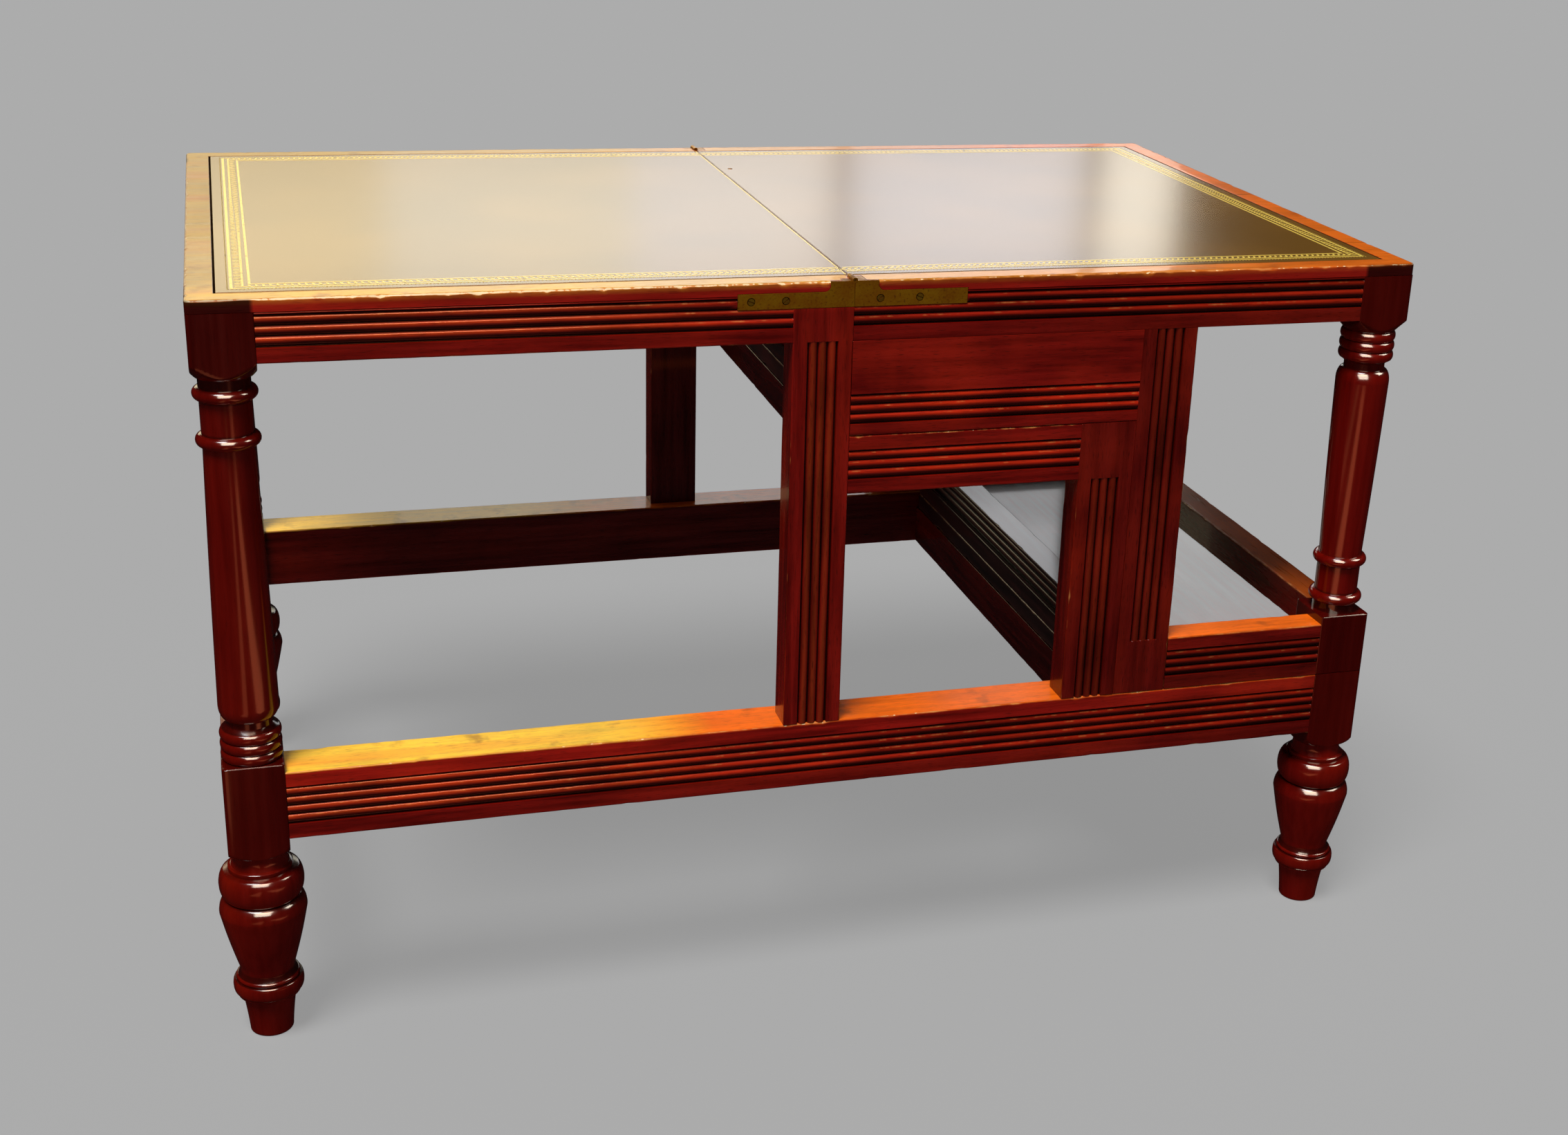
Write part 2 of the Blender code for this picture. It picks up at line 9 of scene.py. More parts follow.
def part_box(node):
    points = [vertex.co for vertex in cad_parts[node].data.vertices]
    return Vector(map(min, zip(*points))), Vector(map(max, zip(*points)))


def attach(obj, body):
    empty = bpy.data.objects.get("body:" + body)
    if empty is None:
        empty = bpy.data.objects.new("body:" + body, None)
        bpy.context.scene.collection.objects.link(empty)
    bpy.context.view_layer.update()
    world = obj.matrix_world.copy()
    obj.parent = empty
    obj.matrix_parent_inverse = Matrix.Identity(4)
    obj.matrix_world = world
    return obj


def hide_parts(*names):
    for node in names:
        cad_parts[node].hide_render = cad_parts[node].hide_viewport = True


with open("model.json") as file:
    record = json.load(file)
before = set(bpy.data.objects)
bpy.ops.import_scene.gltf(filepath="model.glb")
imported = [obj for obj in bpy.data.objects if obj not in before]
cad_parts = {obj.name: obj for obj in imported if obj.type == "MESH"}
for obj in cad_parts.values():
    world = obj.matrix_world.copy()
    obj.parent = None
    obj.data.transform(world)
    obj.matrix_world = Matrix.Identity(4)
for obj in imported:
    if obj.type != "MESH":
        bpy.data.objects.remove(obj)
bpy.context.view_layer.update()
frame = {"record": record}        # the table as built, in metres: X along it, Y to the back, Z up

scene = bpy.context.scene
rightAngle = 0.5 * math.pi
jointGap = 0.00028       # what a fixed piece grows by to close its joint
bothEnds = (jointGap, jointGap)
bodies = frame["record"]["behaviour"]["bodies"]
bodyOf = {node: body for body, nodes in bodies.items() for node in nodes}


# Shader building

def addNode(tree, kind, inputs=None, **settings):
    made = tree.nodes.new(kind)
    for key, value in settings.items():
        setattr(made, key, value)
    fill(tree, made, inputs or {})
    return made


def fill(tree, node, inputs):
    for key, value in inputs.items():
        socket = node.inputs[key]
        if isinstance(value, bpy.types.NodeSocket):
            tree.links.new(value, socket)
        elif isinstance(value, tuple) and socket.type == "RGBA":
            socket.default_value = (*value, 1.0)
        else:
            socket.default_value = value


def newMaterial(name):
    material = bpy.data.materials.new(name)
    material.use_nodes = True
    return material, material.node_tree, material.node_tree.nodes["Principled BSDF"]


def grainOf(tree, vector, scale, detail=4.0):
    inputs = {"Vector": vector, "Scale": scale, "Detail": detail}
    return addNode(tree, "ShaderNodeTexNoise", inputs).outputs["Fac"]


def spread(tree, value, low, high, toLow=0.0, toHigh=1.0):
    inputs = {"Value": value, "From Min": low, "From Max": high, "To Min": toLow, "To Max": toHigh}
    return addNode(tree, "ShaderNodeMapRange", inputs).outputs["Result"]


def calc(tree, operation, first, second):
    return addNode(tree, "ShaderNodeMath", {0: first, 1: second}, operation=operation).outputs[0]


def times(tree, first, second):
    return calc(tree, "MULTIPLY", first, second)


def plus(tree, first, second):
    return calc(tree, "ADD", first, second)


def mixColour(tree, factor, first, second, blend="MIX"):
    inputs = {0: factor, 6: first, 7: second}
    return addNode(tree, "ShaderNodeMix", inputs, data_type="RGBA", blend_type=blend).outputs[2]


def vectorCalc(tree, operation, first, second):
    return addNode(tree, "ShaderNodeVectorMath", {0: first, 1: second}, operation=operation).outputs[0]


def vectorOf(tree, x=0.0, y=0.0, z=0.0):
    return addNode(tree, "ShaderNodeCombineXYZ", {0: x, 1: y, 2: z}).outputs["Vector"]


def markOf(tree, name, output="Fac"):
    return addNode(tree, "ShaderNodeAttribute", attribute_name=name).outputs[output]


def bumpFrom(tree, height, strength, distance):
    inputs = {"Height": height, "Strength": strength, "Distance": distance}
    return addNode(tree, "ShaderNodeBump", inputs).outputs["Normal"]


def tableCoordinates(tree):
    return addNode(tree, "ShaderNodeTexCoord").outputs["Object"]


def pieceCoordinates(tree):
    # Each board has its own place in the timber, so the figure doesn't run from piece to piece
    return vectorCalc(tree, "ADD", tableCoordinates(tree), markOf(tree, "boardShift", "Vector"))


# Finishes

mahogany = {
    "deep": (0.065, 0.0010, 0.0004),
    "rich": (0.185, 0.0030, 0.0008),
    "bright": (0.320, 0.0115, 0.0018),
    "pore": (0.018, 0.0016, 0.0008),
    "worn": (0.62, 0.215, 0.05),
    "chipped": (0.86, 0.62, 0.34),
    "golden": (0.97, 0.55, 0.034),
    "orange": (0.85, 0.19, 0.008),
    "russet": (0.85, 0.14, 0.004),
    "stain": (0.20, 0.045, 0.006),
    "grime": (0.006, 0.0012, 0.0006),
    "inner": (0.30, 0.34, 0.36),     # share of the colour kept under the inner darkening: painted shade on inner faces and dimmed pieces, plain darkening on the legs
    "stretch": 0.055,                # figure across the grain to figure along it
    "streaks": 150.0,
    "bands": 24.0,
    "pores": 1500.0,
}


def makeMahogany(name, grain, strength, gloss, figure=1.0, relief=0.13, coat=0.4, shine=0.2, blur=0.06,
                 fading=(-0.12, 0.48, "orange")):
    look = mahogany
    material, tree, shader = newMaterial(name)
    coords = pieceCoordinates(tree)
    along = [1.0, 1.0, 1.0]
    along["xyz".index(grain)] = look["stretch"]
    lengthwise = vectorCalc(tree, "MULTIPLY", coords, tuple(along))
    streaks = grainOf(tree, lengthwise, look["streaks"], 5.0)
    bands = grainOf(tree, lengthwise, look["bands"], 3.0)
    pores = spread(tree, grainOf(tree, lengthwise, look["pores"], 1.0), 0.60, 0.70)
    patches = grainOf(tree, coords, 11.0, 3.0)

    share = spread(tree, streaks, 0.32, 0.68, 0.5 - 0.5 * figure, 0.5 + 0.5 * figure)
    colour = mixColour(tree, share, look["deep"], look["rich"])
    lights = spread(tree, bands, 0.42, 0.72, 0.0, figure)
    lights = times(tree, lights, spread(tree, patches, 0.3, 0.7))
    colour = mixColour(tree, lights, colour, look["bright"])
    colour = mixColour(tree, times(tree, pores, 0.55 * figure), colour, look["pore"])
    # Painted highlight: the lift mark brightens reed crests and the faces just below the paler tops
    tone = times(tree, markOf(tree, "tone"), plus(tree, markOf(tree, "lift"), 1.0))
    colour = mixColour(tree, 1.0, colour, times(tree, tone, strength), "MULTIPLY")

    # Upper faces are paler gold, partly bleaching and partly painted light falling from the left, so least
    # towards the right end
    start, end, last = fading
    endToEnd = addNode(tree, "ShaderNodeSeparateXYZ", {"Vector": tableCoordinates(tree)}).outputs["X"]
    bleachedAndLit = mixColour(tree, spread(tree, endToEnd, start, end), look["golden"], look[last])
    shade = spread(tree, plus(tree, streaks, patches), 0.62, 1.2, 0.62, 1.1)
    bleachedAndLit = mixColour(tree, 1.0, bleachedAndLit, shade, "MULTIPLY")
    bleachedAndLit = mixColour(tree, spread(tree, bands, 0.52, 0.74, 0.0, 0.7), bleachedAndLit, look["orange"])
    bleachedAndLit = mixColour(tree, times(tree, pores, 0.5), bleachedAndLit, look["rich"])
    stains = spread(tree, grainOf(tree, coords, 27.0, 5.0), 0.60, 0.72, 0.0, 0.6)
    bleachedAndLit = mixColour(tree, stains, bleachedAndLit, look["stain"])
    faded = markOf(tree, "faded")
    colour = mixColour(tree, faded, colour, bleachedAndLit)

    # Rubbed arrises, with paler bare chips here and there; the same mark also paints highlight on the
    # upper halves of reeds and on the brighter left edges
    wear = markOf(tree, "wear")
    rubbed = spread(tree, times(tree, wear, grainOf(tree, coords, 75.0, 5.0)), 0.34, 0.56)
    colour = mixColour(tree, rubbed, colour, look["worn"])
    chipped = spread(tree, times(tree, wear, grainOf(tree, coords, 210.0, 2.0)), 0.56, 0.62)
    colour = mixColour(tree, chipped, colour, look["chipped"])
    # Near black where this mark lies: painted shade in grooves, coves and the lower halves of reeds, with
    # some real grime and dark joints
    colour = mixColour(tree, times(tree, markOf(tree, "grime"), 0.9), colour, look["grime"])
    # Painted shade on inner faces and dimmed pieces; the same darkening also lies on the leg blocks and
    # legs
    shaded = mixColour(tree, 1.0, colour, look["inner"], "MULTIPLY")
    colour = mixColour(tree, markOf(tree, "inner"), colour, shaded)

    rough = spread(tree, streaks, 0.2, 0.8, gloss - 0.05, gloss + 0.07)
    rough = plus(tree, rough, times(tree, rubbed, 0.08))
    rough = plus(tree, rough, times(tree, faded, 0.10))
    height = calc(tree, "SUBTRACT", times(tree, streaks, 0.25), times(tree, pores, 0.35))
    height = plus(tree, height, times(tree, grainOf(tree, coords, 48.0, 2.0), 0.9))
    fill(tree, shader, {
        "Base Color": colour, "Roughness": rough, "Normal": bumpFrom(tree, height, relief, 0.0006),
        "Specular IOR Level": shine, "Coat Weight": coat, "Coat Roughness": blur,
    })
    return material


hide = {
    "dark": (0.145, 0.066, 0.0075),
    "brown": (0.205, 0.095, 0.0115),
    "pebble": 1150.0,
    "rough": 0.27,
}


def makeLeather():
    material, tree, shader = newMaterial("polishedHide")
    coords = pieceCoordinates(tree)
    clouds = spread(tree, grainOf(tree, coords, 7.0, 1.5), 0.35, 0.7)
    pebble = addNode(tree, "ShaderNodeTexVoronoi", {"Vector": coords, "Scale": hide["pebble"]})
    height = times(tree, pebble.outputs["Distance"], 0.08)
    height = plus(tree, height, times(tree, grainOf(tree, coords, 14.0, 2.0), 0.8))
    fill(tree, shader, {
        "Base Color": mixColour(tree, clouds, hide["dark"], hide["brown"]), "Roughness": hide["rough"],
        "Normal": bumpFrom(tree, height, 0.05, 0.0005),
        "Specular IOR Level": 0.6, "Coat Weight": 0.35, "Coat Roughness": 0.2,
    })
    return material


def makeMetal(name, bright, dull, rough, stain):
    material, tree, shader = newMaterial(name)
    coords = pieceCoordinates(tree)
    clouds = grainOf(tree, coords, 55.0, 5.0)
    spots = grainOf(tree, coords, 420.0, 3.0)
    tarnish = spread(tree, plus(tree, clouds, times(tree, spots, 0.5)), 0.55, 0.95)
    colour = mixColour(tree, tarnish, bright, dull)
    colour = mixColour(tree, spread(tree, spots, 0.6, 0.75, 0.0, stain), colour, (0.03, 0.018, 0.007))
    rubs = grainOf(tree, vectorCalc(tree, "MULTIPLY", coords, (0.15, 1.0, 1.0)), 900.0, 2.0)
    fill(tree, shader, {
        "Base Color": colour, "Roughness": spread(tree, tarnish, 0.0, 1.0, rough, rough + 0.2),
        "Normal": bumpFrom(tree, rubs, 0.08, 0.0003), "Metallic": 0.7, "Specular IOR Level": 0.2,
    })
    return material


def makeGilt():
    # Gold leaf that has rubbed through to the hide in places
    material, tree, shader = newMaterial("giltTooling")
    coords = pieceCoordinates(tree)
    gone = spread(tree, grainOf(tree, coords, 130.0, 5.0), 0.61, 0.75, 0.0, 0.8)
    shimmer = spread(tree, grainOf(tree, coords, 400.0), 0.3, 0.7)
    leaf = mixColour(tree, shimmer, (1.0, 0.80, 0.16), (0.95, 0.62, 0.07))
    fill(tree, shader, {
        "Base Color": mixColour(tree, gone, leaf, (0.10, 0.062, 0.02)),
        "Metallic": spread(tree, gone, 0.0, 1.0, 0.25, 0.1),
        "Roughness": spread(tree, gone, 0.0, 1.0, 0.36, 0.5),
        "Coat Weight": 0.5, "Coat Roughness": 0.2,
    })
    return material


def makeMatt(name, colour, glow=0.0):
    material, tree, shader = newMaterial(name)
    fill(tree, shader, {
        "Base Color": colour, "Roughness": 1.0, "Specular IOR Level": 0.0,
        "Emission Color": (1.0, 1.0, 1.0), "Emission Strength": glow,
    })
    return material


railWood = makeMahogany("railMahogany", "x", 1.3, 0.25, fading=(-0.24, -0.13, "russet"))
endWood = makeMahogany("crossMahogany", "y", 1.1, 0.25)
postWood = makeMahogany("postMahogany", "z", 1.2, 0.25)
turnedWood = makeMahogany("turnedMahogany", "z", 0.82, 0.15, 0.4, 0.04, blur=0.12)
treadWood = makeMahogany("treadMahogany", "y", 0.7, 0.5, coat=0.52, shine=0.6, blur=0.08)
topWood = makeMahogany("topMahogany", "x", 1.85, 0.24, 0.6, coat=0.18, shine=0.3)
leather = makeLeather()
gilt = makeGilt()
brass = makeMetal("agedBrass", (0.47, 0.215, 0.008), (0.25, 0.095, 0.003), 0.24, 0.75)
screwBrass = makeMetal("screwBrass", (0.26, 0.14, 0.010), (0.12, 0.05, 0.005), 0.26, 0.6)
shadow = makeMatt("openGroove", (0.010, 0.005, 0.002))
print("finishes made")


# Meshes

timber = {
    "turn": 2.399963,
    "reach": (0.71, 0.53, 0.137),   # how far apart the boards lie in the timber
    "tone": 0.13,                   # how much their depth of colour differs
    "toneTurn": 7.1,
    "trimShift": (0.3, 0.1, 0.0),
}
pieceCount = 0


def linkPiece(name, mesh):
    piece = bpy.data.objects.new(name, mesh)
    scene.collection.objects.link(piece)
    return piece


def markMesh(mesh, label, values, kind="FLOAT"):
    field = "value" if kind == "FLOAT" else "vector"
    mesh.attributes.new(label, kind, "POINT").data.foreach_set(field, values)


def meshPiece(name, points, faces, marks=None):
    mesh = bpy.data.meshes.new(name)
    mesh.from_pydata(points, [], faces)
    shape = bmesh.new()
    shape.from_mesh(mesh)
    bmesh.ops.recalc_face_normals(shape, faces=shape.faces)
    shape.to_mesh(mesh)
    shape.free()
    for label, values in (marks or {}).items():
        markMesh(mesh, label, values)
    return linkPiece(name, mesh)


def loftPiece(name, rings, marks=None):
    # Closed solid through rings of equal counts
    count = len(rings[0])
    points = [point for ring in rings for point in ring]
    faces = []
    for r in range(len(rings) - 1):
        for i in range(count):
            j = (i + 1) % count
            faces.append((r * count + i, r * count + j, (r + 1) * count + j, (r + 1) * count + i))
    faces.append(tuple(reversed(range(count))))
    faces.append(tuple(range((len(rings) - 1) * count, len(rings) * count)))
    return meshPiece(name, points, faces, marks)


def camelName(node):
    first, *rest = node.split("_")
    return first + "".join(word.capitalize() for word in rest)


def cutWith(piece, tool, operation="DIFFERENCE"):
    modifier = piece.modifiers.new(tool.name, "BOOLEAN")
    modifier.operation = operation
    modifier.solver = "EXACT"
    modifier.object = tool


def settle(piece):
    # What the modifiers make becomes the mesh
    graph = bpy.context.evaluated_depsgraph_get()
    evaluated = piece.evaluated_get(graph)
    made = bpy.data.meshes.new_from_object(evaluated, preserve_all_data_layers=True, depsgraph=graph)
    piece.modifiers.clear()
    piece.data = made


def dressPiece(piece, nodes, material, sharp=36.0, weighted=True):
    global pieceCount
    pieceCount += 1
    mesh = piece.data
    if material:
        mesh.materials.clear()
        mesh.materials.append(material)
    count = len(mesh.vertices)
    turn = timber["turn"] * pieceCount
    x, y, z = timber["reach"]
    shift = (x * math.cos(turn), y * math.sin(turn), z * pieceCount)
    tone = 1.0 + timber["tone"] * math.sin(timber["toneTurn"] * pieceCount)
    markMesh(mesh, "boardShift", shift * count, "FLOAT_VECTOR")
    markMesh(mesh, "tone", [tone] * count)
    mesh.shade_smooth()
    mesh.set_sharp_from_angle(angle=math.radians(sharp))
    if weighted:
        modifier = piece.modifiers.new("evenShading", "WEIGHTED_NORMAL")
        modifier.keep_sharp = True
    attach(piece, bodyOf[nodes[0]])
    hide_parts(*nodes)
    return piece


def trimPiece(piece, node, material=None):
    # Trim that belongs to a node without standing for it
    if material:
        piece.data.materials.append(material)
    count = len(piece.data.vertices)
    markMesh(piece.data, "boardShift", timber["trimShift"] * count, "FLOAT_VECTOR")
    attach(piece, bodyOf[node])


def circle(x, y, radius, count):
    turns = [math.tau * i / count for i in range(count)]
    return [(x + radius * math.cos(turn), y + radius * math.sin(turn)) for turn in turns]


def rodPiece(name, radius, x, z, levels):
    return loftPiece(name, [[(px, y, pz) for px, pz in circle(x, z, radius, 32)] for y in levels])


def boxPiece(name, x, y, z):
    corners = ((x[0], y[0]), (x[1], y[0]), (x[1], y[1]), (x[0], y[1]))
    return loftPiece(name, [[(*corner, level) for corner in corners] for level in z])


# Reeded and plain bars

reeding = {
    "pitch": 0.0095,
    "quirk": 0.0011,         # flat bottom of a groove
    "lip": 0.0008,           # sloping outer side of the first and last groove
    "depth": 0.0029,
    "crown": 0.0002,         # top of a reed below the face
    "steps": 10,
    "topStart": 0.00245,     # first groove of a top rail below its upper edge
    "panelStart": 0.01275,   # first groove of a panel above its lower edge
}
# Painted highlight along the crest of an upright reed, with some wear
uprightReed = {"wear": 0.5, "lift": 0.1, "faded": 0.03}
levelReed = {                # painted shade below its middle and painted highlight above it
    "darkest": 0.94,
    "darkTo": 0.60,
    "darkFade": 0.26,
    "brightAt": 0.74,
    "falloff": 3.0,
    "wear": 0.76,
    "lift": 0.95,
    "faded": 0.05,
}
bars = {
    "spacing": 0.009,        # between the sections that carry the wobble of an edge
    "arrisSteps": 5,
    "endEase": 0.0004,       # easing of a sawn end
    "fullWear": 0.0024,      # arris radius from which it is rubbed bare
    "sealed": 0.0003,        # arris radius where two pieces meet flush
    "lipWear": 0.15,
    "glow": 0.7,             # light that a bleached top throws on the face below it
    "wave": 0.4,
    "waves": 34.0,
    "nick": 2.6,
    "nicks": 61.0,
    "nickFrom": 0.3,
}


def groovesUp(start, count=4):
    return [start + i * reeding["pitch"] for i in range(count)]


def groovesMid(node, axis, count=4):
    low, high = (corner["xyz".index(axis)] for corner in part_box(node))
    return groovesUp((low + high - (count - 1) * reeding["pitch"]) / 2, count)


def between(ends, share):
    return ends[0] + (ends[1] - ends[0]) * share


def barOutline(low, high, thick, grooves, radii, depth, fadedLitTop, level):
    # Points as (in from the face, across, marks), from the lower front corner round
    frontLow, frontHigh, backLow, backHigh = radii
    steps = bars["arrisSteps"]
    half = reeding["quirk"] / 2
    crown = min(reeding["crown"], depth)
    cut = 1.0 if depth else 0.0
    glow = bars["glow"] * fadedLitTop
    lipWear = bars["lipWear"] * cut
    outline = []

    def add(inwards, across, **marks):
        outline.append((inwards, across, marks))

    def corner(centreIn, centreAcross, radius, start, inner=(0.0, 0.0), faded=(0.0, 0.0), lift=0.0):
        rub = min(1.0, radius / bars["fullWear"])
        for i in range(steps + 1):
            share = i / steps
            angle = start - rightAngle * share
            add(centreIn + radius * math.cos(angle), centreAcross + radius * math.sin(angle),
                wear=rub * math.sin(math.pi * share), inner=between(inner, share),
                faded=between(faded, share), lift=lift)

    corner(frontLow, low + frontLow, frontLow, -rightAngle)
    # Groove floors and reed sides are darkened towards the grooves as painted shade; reed crests get
    # painted highlight
    for index, middle in enumerate(grooves):
        if index == 0:
            add(0.0, middle - half - reeding["lip"], wear=lipWear)
            add(depth, middle - half, grime=cut)
        add(depth, middle + half, grime=cut)
        if index == len(grooves) - 1:
            add(0.0, middle + half + reeding["lip"], wear=lipWear, lift=glow)
            continue
        width = grooves[index + 1] - middle - 2 * half
        for k in range(1, reeding["steps"]):
            share = k / reeding["steps"]
            rise = math.sin(math.pi * share)
            across = middle + half + width * (1 - math.cos(math.pi * share)) / 2
            grime, wear = (1 - rise) ** 2, uprightReed["wear"] * rise ** 6
            lift, faded = uprightReed["lift"] * rise ** 4, uprightReed["faded"] * rise ** 4
            if level:
                away = levelReed["falloff"] * abs(share - levelReed["brightAt"])
                dark = (levelReed["darkTo"] - share) / levelReed["darkFade"]
                grime = max(grime, min(levelReed["darkest"], dark))
                wear = max(0.0, levelReed["wear"] - away)
                lift = max(0.0, levelReed["lift"] - away)
                faded = levelReed["faded"] * lift
            add(depth - (depth - crown) * rise, across, wear=wear * cut, grime=grime * cut,
                lift=lift * cut, faded=faded * cut)
        add(depth, grooves[index + 1] - half, grime=cut)
    # The upper arris and top take the paler lit colour with painted light below it; the back face gets
    # painted shade
    corner(frontHigh, high - frontHigh, frontHigh, math.pi, faded=(0.0, fadedLitTop), lift=glow)
    corner(thick - backHigh, high - backHigh, backHigh, rightAngle, (0.0, 1.0), (fadedLitTop, 0.0))
    corner(thick - backLow, low + backLow, backLow, 0.0, (1.0, 0.0))
    return outline


def barStations(run, stops, spacing):
    # Places along a bar, each with whether the reeds are cut there
    ease = bars["endEase"]
    start, end = stops or run
    count = max(2, round((run[1] - run[0]) / spacing))
    inside = [run[0] + (run[1] - run[0]) * i / count for i in range(1, count)]
    stations = [(u, start <= u <= end) for u in [run[0], run[0] + ease, *inside, run[1] - ease, run[1]]]
    if start > run[0]:
        stations += [(start - ease, False), (start, True)]
    if end < run[1]:
        stations += [(end, True), (end + ease, False)]
    return sorted(stations)


def barPiece(node, along, face, material, radii, grooves=(), stops=None, sealed=None, fadedLitTop=0.0,
             close=bothEnds, closeHigh=0.0, spacing=bars["spacing"], dim=0.0, inside=1.0,
             slotName="mahogany", dress=True):
    # `along` is the grain, `face` the reeded side, radii are front low, front high, back low, back high
    lo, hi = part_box(node)
    u, v = "xyz".index(along), "xyz".index(face[1])
    w = 3 - u - v
    thick = hi[v] - lo[v]
    low, high = lo[w], hi[w] + closeHigh
    run = (lo[u] - close[0], hi[u] + close[1])
    dimEnds = dim if isinstance(dim, tuple) else (dim, dim)
    seed = 0.37 * sum(map(ord, node))
    rings, marks = [], {label: [] for label in ("wear", "grime", "inner", "faded", "lift")}
    for station, isCut in barStations(run, stops, spacing):
        eased = bars["endEase"] * 0.7 if station in run else 0.0
        worn = []
        for k, radius in enumerate(radii):
            wave = 1.0 + bars["wave"] * noise.noise((station * bars["waves"], k * 7.3, seed))
            nick = noise.noise((station * bars["nicks"], k * 3.1, seed + 5.0)) - bars["nickFrom"]
            worn.append(radius * (wave + max(0.0, nick) * bars["nick"]))
        if sealed and sealed[0] < station < sealed[1]:
            worn[:2] = [min(radius, bars["sealed"]) for radius in worn[:2]]
        depth = reeding["depth"] if isCut else 0.0
        # Painted shade along the bar, darker where less light falls, kept off the paler tops
        shade = between(dimEnds, (station - run[0]) / (run[1] - run[0]))
        ring = []
        outline = barOutline(low, high, thick, grooves, worn, depth, fadedLitTop, w == 2)
        for inwards, across, values in outline:
            point = [0.0, 0.0, 0.0]
            point[u] = station
            inwards = min(max(inwards, eased), thick - eased)
            point[v] = lo[v] + inwards if face[0] == "-" else hi[v] - inwards
            point[w] = min(max(across, low + eased), high - eased)
            ring.append(tuple(point))
            unfadedUnlit = 1 - values.get("faded", 0.0)
            values["inner"] = max(values.get("inner", 0.0) * inside, shade * unfadedUnlit)
            for label, listed in marks.items():
                listed.append(values.get(label, 0.0))
        rings.append(ring)
    piece = loftPiece(camelName(node), rings, marks)
    return dressPiece(piece, [node], material) if dress else piece


halves = (("left", "-x"), ("right", "+x"))
sides = (("front", "-y"), ("back", "+y"))
crisp, soft, rubbed = 0.0005, 0.0014, 0.0020     # arris radii
evenSoft = (soft, soft, soft, soft)


def makeBottomRails():
    grooves = groovesMid("front_bottom_rail", "z", 5)
    for side, face in sides:
        barPiece(f"{side}_bottom_rail", "x", face, railWood, (soft, rubbed, soft, rubbed), grooves,
                 fadedLitTop=1.0, spacing=0.006, dim=(0.0, 0.6))
    barPiece("left_end_bottom_rail", "y", "-x", endWood, evenSoft, grooves, dim=0.5)
    plain = (soft, crisp, soft, crisp)
    barPiece("right_end_base_rail", "y", "+x", endWood, plain)
    barPiece("base_cross_rail", "y", "-x", endWood, plain, dim=0.8)


def makeTopRails():
    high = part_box("front_top_rail_left")[1].z
    grooves = groovesUp(high - reeding["topStart"] - 3 * reeding["pitch"])
    radii = (soft, crisp, soft, crisp)
    kinds = {
        "left": {"radii": radii},
        "right": {"radii": (crisp, crisp, soft, crisp), "close": (0.0, jointGap), "dim": (0.25, 0.7)},
    }
    rails = {}
    for side, face in sides:
        for half, values in kinds.items():
            rails[side, half] = barPiece(f"{side}_top_rail_{half}", "x", face, railWood, grooves=grooves,
                                         dress=False, **values)
    for half, face in halves:
        barPiece(f"{half}_end_top_rail", "y", face, endWood, radii, grooves)
    barPiece("split_rail", "y", "+x", endWood, radii)
    return rails


def makePosts():
    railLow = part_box("front_top_rail_left")[0].z
    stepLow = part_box("front_step_rail")[0].z
    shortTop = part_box("front_short_rail")[1].z
    kinds = {
        "centre": {"radii": (soft, soft, soft, crisp), "close": bothEnds, "dim": 0.25,
                   "stops": (0.0, railLow), "sealed": (railLow, 1.0)},
        "inner": {"radii": (soft, crisp, soft, crisp), "close": (jointGap, 0.0), "dim": 0.65,
                  "stops": (0.0, stepLow), "sealed": (stepLow, 1.0)},
        "outer": {"radii": (crisp, rubbed, crisp, soft), "close": (0.0, jointGap), "dim": 0.75,
                  "stops": (shortTop, 1.0)},
    }
    centrePosts = {}
    for side, face in sides:
        for kind, values in kinds.items():
            node = f"{side}_{kind}_post"
            post = barPiece(node, "z", face, postWood, grooves=groovesMid(node, "x"),
                            dress=kind != "centre", **values)
            if kind == "centre":
                centrePosts[side] = post
    return centrePosts


def panelGrooves(node):
    return groovesUp(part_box(node)[0].z + reeding["panelStart"])


def makeStepFrame():
    for side, face in sides:
        rail, panel, short = (f"{side}_{kind}" for kind in ("step_rail", "step_panel", "short_rail"))
        barPiece(rail, "x", face, railWood, (soft, rubbed, soft, crisp), groovesMid(rail, "z"), dim=0.2)
        barPiece(panel, "x", face, railWood, (soft, crisp, crisp, crisp), panelGrooves(panel),
                 close=(0.0, jointGap), closeHigh=jointGap, dim=0.1)
        barPiece(short, "x", face, railWood, (crisp, rubbed, crisp, rubbed), groovesMid(short, "z"),
                 fadedLitTop=1.0, dim=0.75)


treadGroup = bpy.data.collections.new("treads")
nosing = 0.003
treads = {
    "first_tread": (nosing, nosing, crisp, soft),
    "second_tread": (nosing, nosing, crisp, crisp),
    "third_tread": (crisp, soft, crisp, soft),
    "fourth_tread": (crisp, soft, soft, soft),
}


def makeCrossBoards():
    rails = {"upper_cross_rail": "-x", "second_tread_rail": "+x", "third_tread_rail": "+x"}
    for node, face in rails.items():
        barPiece(node, "y", face, endWood, evenSoft, dim=0.7)
    barPiece("riser_board", "y", "-x", endWood, evenSoft, panelGrooves("riser_board"), dim=0.6)
    grooves = groovesMid("step_cross_rail", "z")
    rail = barPiece("step_cross_rail", "y", "-x", treadWood, evenSoft, grooves, dim=0.6)
    treadGroup.objects.link(rail)
    rail = barPiece("right_end_lower_rail", "y", "+x", endWood, (soft, rubbed, soft, rubbed),
                    fadedLitTop=0.4, inside=0.2)
    rail.visible_glossy = False      # keeps the polish of the tread below it pale
    for node, radii in treads.items():
        tread = barPiece(node, "y", "-x", treadWood, radii, close=(0.0, 0.0), dim=0.7,
                         slotName="tread_mahogany")
        treadGroup.objects.link(tread)


# Turned legs

